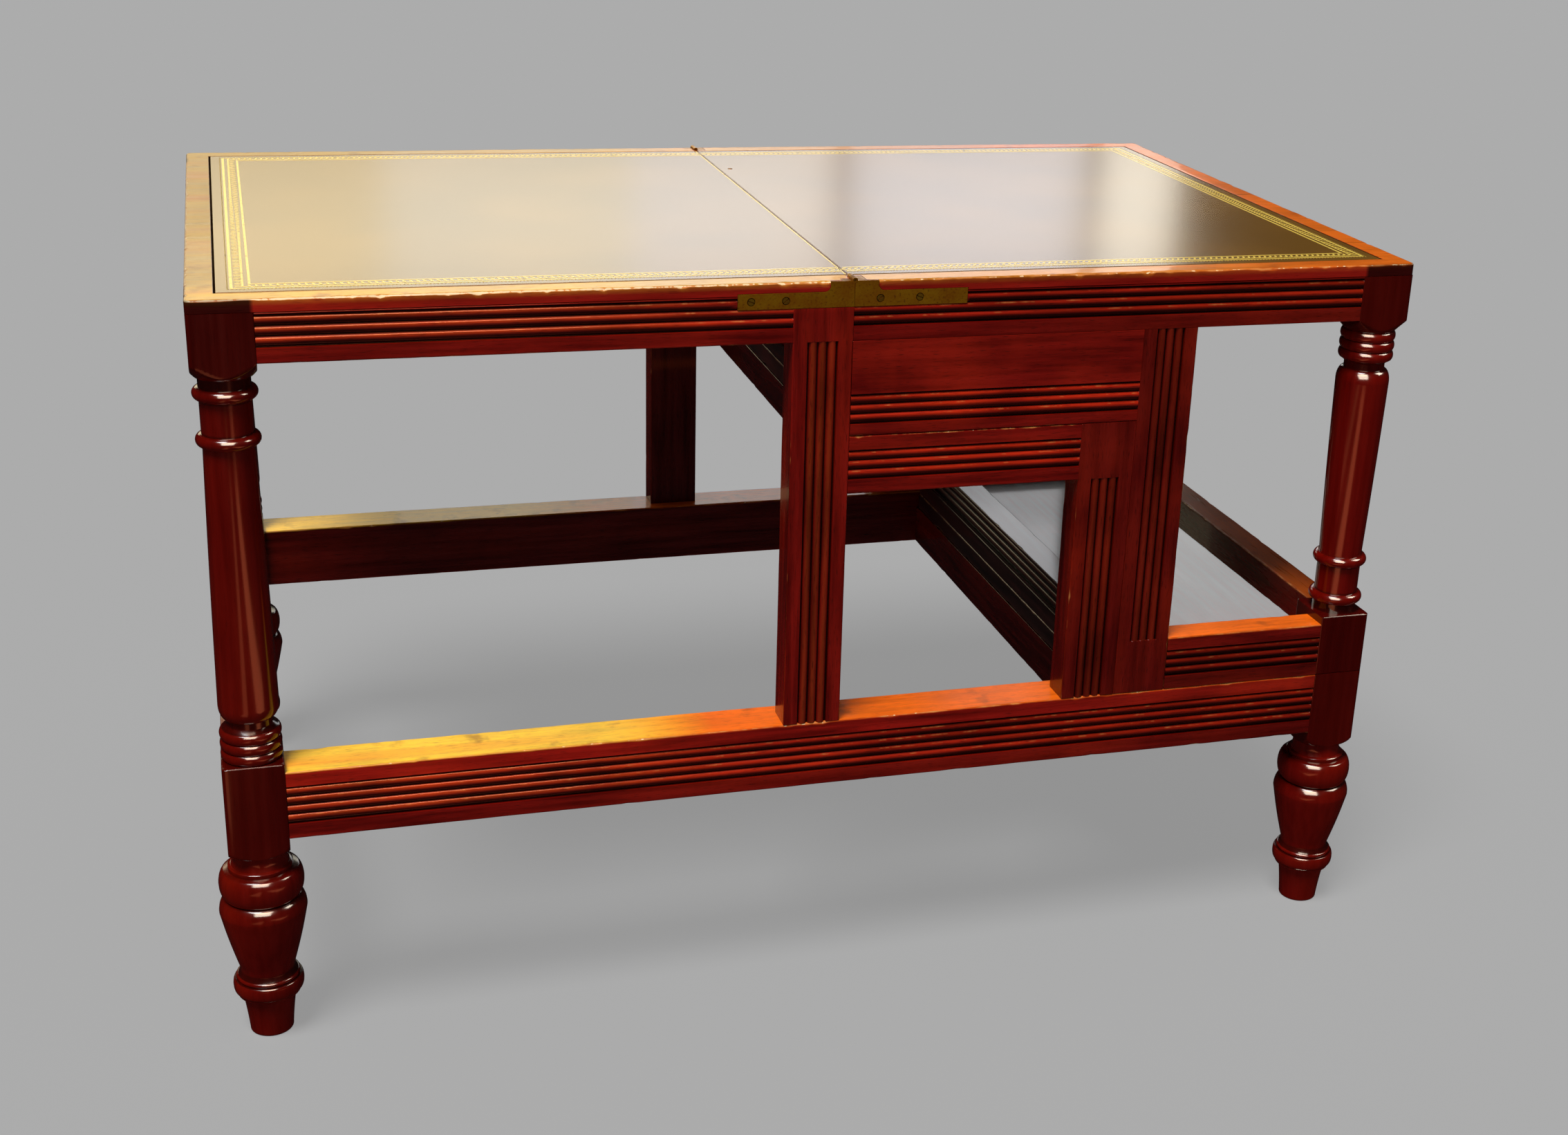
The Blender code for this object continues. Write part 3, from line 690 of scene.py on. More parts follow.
turning = {
    "blockRise": 0.0085, "blockDrop": 0.020, "topBlockDrop": 0.0155, "shoulder": 0.0155,
    "endRadius": 0.0266, "half": 0.029, "cornerRound": 0.0011, "outerRound": 0.0045,
    "pegTip": 0.0212, "pegTop": 0.0260, "pegEdge": 0.002, "pegHeight": 0.043,
    "ankle": 0.0343, "ankleRing": 0.0310, "ankleHeight": 0.0235, "ankleCove": 0.008,
    "vaseFoot": 0.0267, "vase": 0.0422, "vaseShoulder": 0.0155, "vaseBulge": 0.0008, "waist": 0.0342,
    "torus": 0.0408, "torusHeight": 0.031,
    "collar": 0.0268, "collarLip": 0.0310, "collarLipHeight": 0.005, "collarHeight": 0.020,
    "ring": 0.0290, "ringRoot": 0.0258, "ringHeight": 0.0108, "rings": 3,
    "neck": 0.0215, "neckHeight": 0.010,
    "shaftWide": 0.0283, "shaftNarrow": 0.0232, "shaftShoulder": 0.014, "shaftBulge": 0.0004,
    "bead": 0.0291, "beadRoot": 0.0234, "beadHeight": 0.012, "beadFillet": 0.0102, "drumHeight": 0.032,
    "steps": 12,
    # How far the blocks and each leg are darkened
    "blockDim": 0.85, "leftDim": 0.42, "footDim": 0.3, "upperDim": 0.0,
}
legGroup = bpy.data.collections.new("turnedLegs")


def octantAngles():
    # Closest together at the corners of the blocks
    half = [0.0, 7.0, 14.0, 21.0, 28.0, 34.0, 38.5, 41.5, 43.0, 43.9, 44.5]
    quarter = half + [45.0] + [90.0 - angle for angle in reversed(half[1:])]
    return [math.radians(angle + 90.0 * k) for k in range(4) for angle in quarter]


def turnedRing(radius, level, grime=0.0, wear=0.0):
    return (None, radius, level, grime, wear)


def quarterTurn(first=0):
    # Steps of a rounded shoulder, as sine and cosine
    steps = turning["steps"]
    angles = [rightAngle * i / steps for i in range(first, steps + 1)]
    return [(math.sin(angle), math.cos(angle)) for angle in angles]


def beadRings(low, high, root, crown):
    rings = []
    for i in range(turning["steps"] + 1):
        angle = math.pi * i / turning["steps"]
        rise = math.sin(angle)
        radius = root + (crown - root) * rise
        level = (low + high) / 2 - (high - low) / 2 * math.cos(angle)
        # Painted shade at the roots of the bead, a little wear and painted highlight on its crown
        rings.append(turnedRing(radius, level, 0.8 * (1 - rise) ** 3, 0.25 * rise ** 8))
    return rings


def coneRings(low, high, first, last, bulge):
    rings = []
    for i in range(turning["steps"] + 1):
        share = i / turning["steps"]
        radius = first + (last - first) * share + bulge * math.sin(math.pi * share)
        rings.append(turnedRing(radius, low + (high - low) * share))
    return rings


def footRings(top):
    t = turning
    vaseLow = t["pegHeight"] + t["ankleHeight"] + t["ankleCove"]
    collarLow = top - t["collarHeight"]
    waist = collarLow - t["torusHeight"]
    rings = []
    for i in range(5):
        angle = rightAngle * i / 4
        radius = t["pegTip"] - t["pegEdge"] * (1 - math.sin(angle))
        rings.append(turnedRing(radius, t["pegEdge"] * (1 - math.cos(angle)), 0.3))
    rings += coneRings(t["pegEdge"] * 1.5, t["pegHeight"], t["pegTip"], t["pegTop"], -0.0004)
    # The ankle is a bead between two thin rings
    levels = [t["pegHeight"] + t["ankleHeight"] * share for share in (0.0, 0.2, 0.8, 1.0)]
    for low, high, crown in zip(levels, levels[1:], (t["ankleRing"], t["ankle"], t["ankleRing"])):
        rings += beadRings(low, high, crown - 0.002, crown)
    # Painted shade in the cove below the vase, on its shoulder under the torus and below the collar's lip
    rings.append(turnedRing(t["vaseFoot"], vaseLow - t["ankleCove"] * 0.45, 0.8))
    rings += coneRings(vaseLow, waist - t["vaseShoulder"], t["vaseFoot"], t["vase"], t["vaseBulge"])
    for i, (rise, draw) in enumerate(quarterTurn(1), 1):
        radius = t["waist"] + (t["vase"] - t["waist"]) * draw
        level = waist - t["vaseShoulder"] * (1 - rise)
        rings.append(turnedRing(radius, level, 0.8 * (i / t["steps"]) ** 2))
    rings += beadRings(waist, collarLow, t["waist"], t["torus"])[1:-1]
    lip, lipHeight = t["collarLip"], t["collarLipHeight"]
    for radius, share, grime in ((lip, 0.0, 0.6), (lip, 0.8, 0.0), (lip - 0.0012, 1.0, 0.2)):
        rings.append(turnedRing(radius, collarLow + lipHeight * share, grime))
    return rings + coneRings(collarLow + lipHeight * 1.1, top, lip - 0.003, t["collar"], -0.0012)


def blockRings(low, high, lowerEnd, flush=False):
    # The lower end is plain, rounded off or tapered; a flush block has a crisp upper end
    half, shoulder, steps = turning["half"], turning["shoulder"], turning["steps"]
    corner = half * math.sqrt(2.0)
    ease = 0.0007
    rings = [(half - ease, corner, low, 0.0, 0.5), (half, corner, low + ease, 0.0, 0.3)]
    if lowerEnd != "plain":
        rings = []
        for i, (out, up) in enumerate(quarterTurn()[:-1]):
            out, up = (i / steps, i / steps) if lowerEnd == "tapered" else (out, 1 - up)
            reach = turning["endRadius"] + (corner - turning["endRadius"]) * out
            rings.append((half, reach, low + shoulder * up, 0.0, 0.0))
        rings.append((half, corner, low + shoulder, 0.0, 0.0))
    if flush:
        return rings + [(half, corner, high, 0.0, 0.0)]
    return rings + [(half, corner, high - ease, 0.0, 0.2), (half - ease, corner, high, 0.0, 0.4)]


def shaftRings(low, high, beadsAbove):
    t = turning
    rings = []
    level = 0.0
    for _ in range(t["rings"]):
        rings += beadRings(level, level + t["ringHeight"], t["ringRoot"], t["ring"])
        level += t["ringHeight"]
    # Painted shade in the neck, at the foot of the shoulder and at the end beside the block
    for share in (0.35, 0.8):
        rings.append(turnedRing(t["neck"], level + t["neckHeight"] * share, 0.5))
    level += t["neckHeight"]
    for rise, draw in quarterTurn():
        radius = t["neck"] + (t["shaftWide"] - t["neck"]) * rise
        rings.append(turnedRing(radius, level + t["shaftShoulder"] * (1 - draw), 0.5 * draw ** 4))
    span = high - low
    first = span - t["beadFillet"] - t["beadHeight"]
    second = span - t["beadFillet"] - 2 * t["beadHeight"] - t["drumHeight"]
    root, crown = t["beadRoot"], t["bead"]
    wide, narrow = t["shaftWide"], t["shaftNarrow"]
    rings += coneRings(level + t["shaftShoulder"], second, wide, narrow, t["shaftBulge"])[1:]
    rings += beadRings(second, second + t["beadHeight"], root, crown)
    rings += coneRings(second + t["beadHeight"], first, root, root, 0.0)[1:-1]
    rings += beadRings(first, first + t["beadHeight"], root, crown)
    rings.append(turnedRing(root, span, 0.7))
    if beadsAbove:
        return [(half, radius, low + place, *rest) for half, radius, place, *rest in rings]
    return [(half, radius, high - place, *rest) for half, radius, place, *rest in reversed(rings)]


def fromSide(angle):
    # Angle from the middle of the nearest side of a square
    return abs((angle + math.pi / 4) % rightAngle - math.pi / 4)


def squareReach(angle, half, corner):
    # From the middle to the side of a square with rounded corners
    turn = fromSide(angle)
    if half * math.tan(turn) <= half - corner:
        return half / math.cos(turn)
    inset = half - corner
    middle = inset * (math.cos(turn) + math.sin(turn))
    return middle + math.sqrt(max(0.0, middle ** 2 - 2 * inset ** 2 + corner ** 2))


def legPiece(node, rings, dim):
    lo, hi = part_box(node)
    x, y = (lo.x + hi.x) / 2, (lo.y + hi.y) / 2
    outward = math.atan2(y, x)
    angles = octantAngles()
    sections, marks = [], {"wear": [], "grime": [], "inner": []}
    for half, radius, level, grime, wear in rings:
        section = []
        for angle in angles:
            reach, edge, inner = radius, 1.0, dim
            if half is not None:
                isOuter = math.cos(angle - outward) > 0.8 and abs(x) > 0.5
                corner = turning["outerRound" if isOuter else "cornerRound"]
                reach = min(radius, squareReach(angle, half, corner))
                edge = 1.0 if fromSide(angle) > math.radians(43.4) else 0.0
                inner = turning["blockDim"]
            section.append((x + reach * math.cos(angle), y + reach * math.sin(angle), level))
            marks["wear"].append(wear * edge)
            marks["grime"].append(grime)
            marks["inner"].append(inner)
        sections.append(section)
    piece = loftPiece(camelName(node), sections, marks)
    legGroup.objects.link(piece)
    dressPiece(piece, [node], turnedWood, 42.0)


def makeLegs():
    t = turning
    baseLow, baseTop = (corner.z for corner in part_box("front_bottom_rail"))
    railLow, railTop = (corner.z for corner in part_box("front_top_rail_left"))
    flapLow, shortTop = (corner.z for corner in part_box("front_short_rail"))
    footTop, lowerTop = baseLow - t["blockDrop"], baseTop + t["blockRise"]
    upperLow, flapTop = railLow - t["topBlockDrop"], shortTop + t["blockRise"]
    topBlock = blockRings(upperLow, railTop + jointGap, "tapered", True)
    whole = footRings(footTop) + blockRings(footTop, lowerTop, "round")
    whole += shaftRings(lowerTop, upperLow, True) + topBlock
    foot = footRings(footTop) + blockRings(footTop, baseTop, "round", True)
    upper = blockRings(flapLow, flapTop, "plain")
    upper += shaftRings(flapTop, upperLow, False) + topBlock
    for side, _ in sides:
        legPiece(f"left_{side}_leg", whole, t["leftDim"])
        legPiece(f"right_{side}_foot", foot, t["footDim"])
        legPiece(f"right_{side}_upper_leg", upper, t["upperDim"])


# Top boards and leather

top = {
    "border": 0.025,
    "cornerRound": 0.0060,
    "arris": 0.0023,
    "arrisLimit": 0.0042,
    "arrisSteps": 6,
    "splitArris": 0.0004,
    "underArris": 0.0006,
    "pocket": 0.0015,
    "lip": 0.0007,           # bare wood left beside the split
    "groove": 0.0020,        # open line between border and leather
    "legAt": (0.552, 0.307), # inner edges of the leg blocks
    "leatherEdge": 0.0005,
    "wallTop": 0.0065,       # where the upper part of the edge starts to fade
    "borderRings": (0.006, 0.012, 0.019),
    "wave": 0.6,
    "waves": 33.0,
    "nick": 3.4,
    "nicks": 80.0,
    "nickFrom": 0.2,
    "leftRub": 0.7,          # extra wear and painted highlight on the left half's edges
    "soil": 0.28,            # brown of the border at the middle, more to the left and less at the front
    "soilFall": 0.5,
    # Painted shade on the board's edges over the legs
    "legGrime": 0.7,
    "splitGrime": 0.75,
    "splitFadedLit": 0.2,
    "borderFadedLit": 0.68,
    "frontPoints": 150,
    "endPoints": 170,
    "cornerSteps": 8,
    "splitPoints": 24,
}


def halfPlan(half, kind):
    # Which way a half lies, where it starts beside the split, and how far out and back it reaches
    lo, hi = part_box(f"{half}_{kind}")
    if half == "right":
        return 1, lo.x, hi.x, hi.y
    return -1, -hi.x, -lo.x, hi.y


def planRing(half, inset, splitInset, level):
    # Outline of a top half: front, outer corner, end, corner, back, split
    sign, near, far, reach = halfPlan(half, "top_board")
    near, far, reach = near + splitInset, far - inset, reach - inset
    bend = max(top["cornerRound"] - inset, top["splitArris"])
    turnX, turnY = far - bend, reach - bend
    steps = top["cornerSteps"]
    ring = []

    def addLine(start, end, count):
        for i in range(count):
            ring.append(tuple(a + (b - a) * i / count for a, b in zip(start, end)))

    def addBend(y, start):
        for i in range(steps):
            angle = rightAngle * (i / steps + start)
            ring.append((turnX + bend * math.cos(angle), y + bend * math.sin(angle)))

    addLine((near, -reach), (turnX, -reach), top["frontPoints"])
    addBend(-turnY, -1.0)
    addLine((far, -turnY), (far, turnY), top["endPoints"])
    addBend(turnY, 0.0)
    addLine((turnX, reach), (near, reach), top["frontPoints"])
    addLine((near, reach), (near, -reach), top["splitPoints"])
    return [(sign * x, y, level) for x, y in ring]


def edgePoint(half, x, y, inset, level):
    # Moves a point of the outline in from the edges it is on, round the corners too
    sign, near, far, reach = halfPlan(half, "top_board")
    bend = top["cornerRound"]
    out = sign * x
    outwards = out - (far - bend)
    sideways = abs(y) - (reach - bend)
    if outwards > 1e-6 and sideways > 1e-6:
        length = math.hypot(outwards, sideways)
        outwards -= inset * outwards / length
        sideways -= inset * sideways / length
        return (sign * (far - bend + outwards), math.copysign(reach - bend + sideways, y), level)
    if far - out < 1e-6:
        out -= inset
    if out - near < 1e-6:
        out += min(inset, top["splitArris"])
    if reach - abs(y) < 1e-6:
        y = math.copysign(reach - inset, y)
    return (sign * out, y, level)


def topBoard(half):
    node = f"{half}_top_board"
    floor, surface = (corner.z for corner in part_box(node))
    seed = 3.0 if half == "left" else 11.0
    base = planRing(half, 0.0, 0.0, surface)
    count = len(base)
    splitStart = count - top["splitPoints"]
    front = base[0][1]
    rubs = [1.0 + top["leftRub"] * min(max((0.05 - x) / 0.35, 0.0), 1.0) for x, _, _ in base]
    soil = [max(top["soil"] - top["soilFall"] * x, 0.0) * min(0.15 + 12.0 * (y - front), 1.0)
            for x, y, _ in base]
    overLeg = [abs(x) > top["legAt"][0] and abs(y) > top["legAt"][1] for x, y, _ in base]
    arris = []
    for x, y, _ in base:
        wave = 1.0 + top["wave"] * noise.noise((x * top["waves"], y * top["waves"], seed))
        nick = noise.noise((x * top["nicks"], y * top["nicks"], seed + 4.0)) - top["nickFrom"]
        arris.append(min(top["arris"] * (wave + max(0.0, nick) * top["nick"]), top["arrisLimit"]))
    rings, marks = [], {label: [] for label in ("wear", "grime", "inner", "faded")}

    def addRing(ring, wear=0.0, grime=0.0, inner=0.0, legShade=0.0, faded=0.0, split=None):
        # Edges are rubbed most at the left, with painted highlight there, and get painted shade over the
        # legs; the left border is browner
        rings.append(ring)
        for i in range(count):
            bare = split is not None and (i >= splitStart or i == 0)
            shade = legShade if overLeg[i] else 0.0
            marks["wear"].append(split if bare else wear * rubs[i])
            dirt = max(grime, top["legGrime"] * shade, soil[i] * faded)
            marks["grime"].append(top["splitGrime"] if bare else dirt)
            marks["inner"].append(max(inner, shade))
            marks["faded"].append(top["splitFadedLit"] if bare else top["borderFadedLit"] * faded)

    under = top["underArris"]
    # Painted shade on the underside
    addRing(planRing(half, under, under, floor), inner=1.0)
    addRing(planRing(half, 0.0, 0.0, floor + under), wear=0.2, legShade=1.0)
    addRing(planRing(half, 0.0, 0.0, surface - top["wallTop"]), legShade=1.0, faded=0.01)
    steps = top["arrisSteps"]
    for k in range(steps + 1):
        share = k / steps
        draw, drop = 1 - math.cos(rightAngle * share), 1 - math.sin(rightAngle * share)
        ring = []
        for i, (x, y, _) in enumerate(base):
            radius = arris[i] if i < splitStart else top["splitArris"]
            ring.append(edgePoint(half, x, y, radius * draw, surface - radius * drop))
        addRing(ring, math.sin(math.pi * share), legShade=1.0 - share, faded=0.2 + 0.8 * share, split=0.5)
    lip, border = top["lip"], top["border"]
    for inset in top["borderRings"]:
        addRing(planRing(half, inset, lip - 0.00005, surface), faded=1.0, split=0.5)
    addRing(planRing(half, border - 0.0006, lip, surface), faded=1.0, split=0.5)
    # Painted shade at the edge of the pocket and on its floor, with some grime
    addRing(planRing(half, border, lip + 0.0001, surface - 0.0004), wear=0.1, grime=0.6, split=0.8)
    addRing(planRing(half, border + 0.0001, lip + 0.0002, surface - top["pocket"]), grime=1.0)
    return loftPiece(camelName(node), rings, marks)


def leatherPiece(half):
    node = f"{half}_leather"
    low, high = (corner.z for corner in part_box(node))
    inset = top["border"] + top["groove"]
    split = top["lip"] + 0.0003
    edge = top["leatherEdge"]
    rings = [planRing(half, inset, split, low)]
    for k in range(5):
        angle = rightAngle * k / 4
        drop = edge * (1 - math.sin(angle))
        draw = edge * (1 - math.cos(angle))
        rings.append(planRing(half, inset + draw, split + draw * 0.4, high - drop))
    dressPiece(loftPiece(camelName(node), rings), [node], leather, 50.0)


# Gilt tooling, drawn along three sides of each half

tooling = {
    "lineInset": (0.0153, 0.0312),   # from the leather's edge
    "lineWidth": (0.0026, 0.0022),
    "bandInset": 0.0232,
    "dotInset": 0.0120,
    "lift": 0.00012,
    "sink": 0.0006,
    "start": 0.003,                  # of the rows, from the split
    "splitLine": (0.0026, 0.0012),   # thin line, from the leather's edge at the split
    "splitEnd": 0.002,
    "groove": (0.0013, 0.0004),      # bottom and top of the open line below the leather
    "grooveInset": 0.0007,
    "grooveWidth": 0.0019,
    "leaf": {"Pitch": 0.0062, "Leaf Length": 0.0074, "Leaf Width": 0.0025,
             "Slant": 0.62, "Spread": 0.0026},
    "dot": {"Pitch": 0.0034, "Leaf Length": 0.0013, "Leaf Width": 0.0013,
            "Slant": 0.0, "Spread": 0.0001},
}


def newTree(name, inputs):
    tree = bpy.data.node_groups.new(name, "GeometryNodeTree")
    tree.interface.new_socket("Geometry", in_out="INPUT", socket_type="NodeSocketGeometry")
    keys = {}
    for label, value in inputs.items():
        socket = tree.interface.new_socket(label, in_out="INPUT", socket_type="NodeSocketFloat")
        socket.default_value = value
        keys[label] = socket.identifier
    tree.interface.new_socket("Geometry", in_out="OUTPUT", socket_type="NodeSocketGeometry")
    return tree, tree.nodes.new("NodeGroupInput").outputs, keys


def endTree(tree, points, instance, rotation, material):
    inputs = {"Points": points, "Instance": instance, "Rotation": rotation}
    laid = addNode(tree, "GeometryNodeInstanceOnPoints", inputs).outputs["Instances"]
    solid = addNode(tree, "GeometryNodeRealizeInstances", {"Geometry": laid}).outputs["Geometry"]
    finish = addNode(tree, "GeometryNodeSetMaterial", {"Geometry": solid, "Material": material})
    addNode(tree, "NodeGroupOutput", {"Geometry": finish.outputs["Geometry"]})


def growPiece(name, source, tree, keys, values):
    holder = linkPiece(f"{name}Source", source)
    modifier = holder.modifiers.new("grow", "NODES")
    modifier.node_group = tree
    for label, value in values.items():
        modifier[keys[label]] = value
    settle(holder)
    mesh = holder.data
    bpy.data.objects.remove(holder)
    return linkPiece(name, mesh)


def moved(tree, geometry, **inputs):
    inputs["Geometry"] = geometry
    return addNode(tree, "GeometryNodeTransform", inputs).outputs["Geometry"]


def joined(tree, *geometries):
    made = addNode(tree, "GeometryNodeJoinGeometry")
    for geometry in geometries:
        tree.links.new(geometry, made.inputs["Geometry"])
    return made.outputs["Geometry"]


def toolingTree():
    # Pairs of leaves set aslant along a path
    tree, get, keys = newTree("giltLeaves", dict(tooling["leaf"], Thickness=0.0007))
    path = addNode(tree, "GeometryNodeMeshToCurve", {"Mesh": get["Geometry"]}).outputs["Curve"]
    inputs = {"Curve": path, "Length": get["Pitch"]}
    spots = addNode(tree, "GeometryNodeCurveToPoints", inputs, mode="LENGTH").outputs
    blank = addNode(tree, "GeometryNodeMeshCylinder", {"Vertices": 8, "Radius": 0.5, "Depth": 1.0})
    size = vectorOf(tree, get["Leaf Length"], get["Leaf Width"], get["Thickness"])
    pair = []
    for way in (1.0, -1.0):
        turn = vectorOf(tree, z=times(tree, get["Slant"], way))
        offset = vectorOf(tree, y=times(tree, get["Spread"], way))
        sized = moved(tree, blank.outputs["Mesh"], Scale=size)
        pair.append(moved(tree, sized, Rotation=turn, Translation=offset))
    facing = addNode(tree, "FunctionNodeAlignRotationToVector", {"Vector": spots["Tangent"]},
                     axis="X", pivot_axis="Z")
    endTree(tree, spots["Points"], joined(tree, *pair), facing.outputs["Rotation"], gilt)
    return tree, keys


def toolingPath(half, inset, level):
    # Front, end and back of one half, at a distance from the leather's edge
    sign, near, far, reach = halfPlan(half, "leather")
    near, far, y = sign * (near + tooling["start"]), sign * (far - inset), reach - inset
    return [(near, -y, level), (far, -y, level), (far, y, level), (near, y, level)]


def pathMesh(points):
    mesh = bpy.data.meshes.new("path")
    mesh.from_pydata(points, [(i, i + 1) for i in range(len(points) - 1)], [])
    return mesh


def linePiece(name, half, inset, width, low, high):
    outer = toolingPath(half, inset - width / 2, low)
    inner = toolingPath(half, inset + width / 2, low)
    return loftPiece(name, [[a, b, (*b[:2], high), (*a[:2], high)] for a, b in zip(outer, inner)])


def makeTooling():
    tree, keys = toolingTree()
    sink, lift = tooling["sink"], tooling["lift"]
    for half, _ in halves:
        node = f"{half}_leather"
        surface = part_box(node)[1].z
        low, high = surface - sink, surface + lift
        for label, kind, inset in (("GiltLeaves", "leaf", "bandInset"), ("GiltDots", "dot", "dotInset")):
            path = pathMesh(toolingPath(half, tooling[inset], (low + high) / 2))
            values = dict(tooling[kind], Thickness=high - low)
            trimPiece(growPiece(half + label, path, tree, keys, values), node)
        # The open line between the border and the leather, filled with a near-black strip as painted
        # shadow
        bottom, mouth = (surface - drop for drop in tooling["groove"])
        groove = linePiece(f"{half}OpenGroove", half, tooling["grooveInset"], tooling["grooveWidth"],
                           bottom, mouth)
        trimPiece(groove, f"{half}_top_board", shadow)
        for index, (inset, width) in enumerate(zip(tooling["lineInset"], tooling["lineWidth"])):
            trimPiece(linePiece(f"{half}GiltLine{index + 1}", half, inset, width, low, high), node, gilt)
    # A thin gilt line beside the split
    lo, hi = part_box("left_leather")
    across = [hi.x - inset for inset in tooling["splitLine"]]
    along = (lo.y + tooling["splitEnd"], hi.y - tooling["splitEnd"])
    line = boxPiece("splitGiltLine", across, along, (hi.z - sink, hi.z + lift))
    trimPiece(line, "left_leather", gilt)


# Strap hinges

hinge = {
    "strapLength": 0.115, "strapHeight": 0.0155, "strapDrop": 0.010, "earWidth": 0.024, "earCove": 0.006,
    "thick": 0.0022, "tabReach": 0.012, "knuckle": 0.0026, "knuckleLength": 0.0095, "pin": 0.0012,
    "screwHead": 0.0033, "screwRoom": 0.0040, "slack": 0.0003, "coveSteps": 10,
    "rounding": 0.0003, "pivotRise": 0.0004, "split": 0.00015, "gap": 0.0003, "crownDrop": 0.0001,
    "boreRoom": 0.0002, "boreDepth": 0.05, "holeDepth": 0.006,
    "rodOut": 0.01, "bedOut": 0.004, "holeOut": 0.002,     # how far cutting shapes stand out
}


def leafOutline(surface, slack):
    h = hinge
    low = surface - h["strapDrop"] - h["strapHeight"] - slack
    high = surface - h["strapDrop"] + slack
    end, ear, cove = h["strapLength"] + slack, h["earWidth"] + slack, h["earCove"] - slack
    points = [(h["split"], low), (end, low), (end, high)]
    for i in range(h["coveSteps"] + 1):
        turn = rightAngle * i / h["coveSteps"]
        points.append((ear + cove * (1 - math.sin(turn)), high + cove * (1 - math.cos(turn))))
    crown = surface + slack if slack else surface - h["crownDrop"]
    return points + [(ear, crown), (h["split"], crown)]


def platePiece(name, outline, sign, levels):
    return loftPiece(name, [[(sign * x, y, z) for x, z in outline] for y in levels])


def makeHinges(boards, rails, centrePosts):
    h = hinge
    thick, slack, rodOut, bedOut = h["thick"], h["slack"], h["rodOut"], h["bedOut"]
    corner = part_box("left_top_board")[1]
    face, surface = corner.y, corner.z
    pivot = surface + h["pivotRise"]
    screwLevel = surface - h["strapDrop"] - h["strapHeight"] / 2
    first, last = h["knuckleLength"], 2 * h["knuckleLength"] + h["gap"]
    spans = {"left": (0.0, first), "right": (first + h["gap"], last)}
    tools = []

    def depths(side, *inwards):
        return [side * (face - inward) for inward in inwards]

    def rod(name, radius, side, start, end, x=0.0, z=pivot):
        tools.append(rodPiece(name, radius, x, z, sorted(depths(side, start, end))))
        return tools[-1]

    def box(name, x, side, start, end, z):
        tools.append(boxPiece(name, sorted(x), sorted(depths(side, start, end)), z))
        return tools[-1]

    for name, side in (("front", -1), ("back", 1)):
        for half, sign in (("left", -1), ("right", 1)):
            node = f"{name}_hinge_leaf_{half}"
            start, end = spans[half]
            leaf = platePiece(camelName(node), leafOutline(surface, 0.0), sign, depths(side, 0.0, thick))
            bevel = leaf.modifiers.new("rounding", "BEVEL")
            bevel.width = h["rounding"]
            bevel.segments = 2
            bevel.limit_method = "ANGLE"
            tab = box("tab", (sign * h["split"], sign * h["tabReach"]), side, thick / 2, end,
                      (surface - thick, surface - h["crownDrop"]))
            barrel = rod("barrel", h["knuckle"], side, start, end)
            bore = rod("bore", h["pin"] + h["boreRoom"], side, -rodOut, h["boreDepth"])
            room = rod("room", h["knuckle"] + slack, side, -rodOut, first + h["gap"])
            levels = depths(side, -bedOut, thick + slack)
            bed = platePiece("bed", leafOutline(surface, slack), sign, levels)
            tools.append(bed)
            slotX = (-sign * slack, sign * (h["tabReach"] + slack))
            slot = box("slot", slotX, side, -bedOut, end + slack,
                       (surface - thick - slack, surface + bedOut))
            trench = rod("trench", h["knuckle"] + slack, side, -rodOut, last + slack)
            holes = []
            for place in ("near", "far"):
                lo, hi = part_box(f"{name}_{half}_screw_{place}")
                x = (lo.x + hi.x) / 2
                hole = rod("hole", h["screwRoom"], side, -h["holeOut"], h["holeDepth"], x, screwLevel)
                holes.append(hole)
            cutWith(leaf, tab, "UNION")
            if half == "right":
                cutWith(leaf, room)
            cutWith(leaf, barrel, "UNION")
            for tool in (bore, *holes):
                cutWith(leaf, tool)
            settle(leaf)
            dressPiece(leaf, [node], brass, 30.0)
            for tool in (bed, slot, trench):
                cutWith(boards[half], tool)
            for tool in (bed, *holes):
                cutWith(rails[name, half], tool)
            if half == "left":
                cutWith(centrePosts[name], bed)
        node = f"{name}_hinge_pin"
        lo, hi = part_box(node)
        pin = rodPiece(camelName(node), h["pin"], 0.0, pivot, (lo.y, hi.y))
        dressPiece(pin, [node], screwBrass, 40.0)
    for piece in (*boards.values(), *rails.values(), *centrePosts.values()):
        settle(piece)
    for tool in tools:
        bpy.data.objects.remove(tool)


screwSizes = {
    "Head Radius": hinge["screwHead"], "Head Depth": 0.0022, "Shank Radius": 0.0015, "Shank Length": 0.012,
    "Slot Width": 0.0009, "Slot Depth": 0.0008,
}


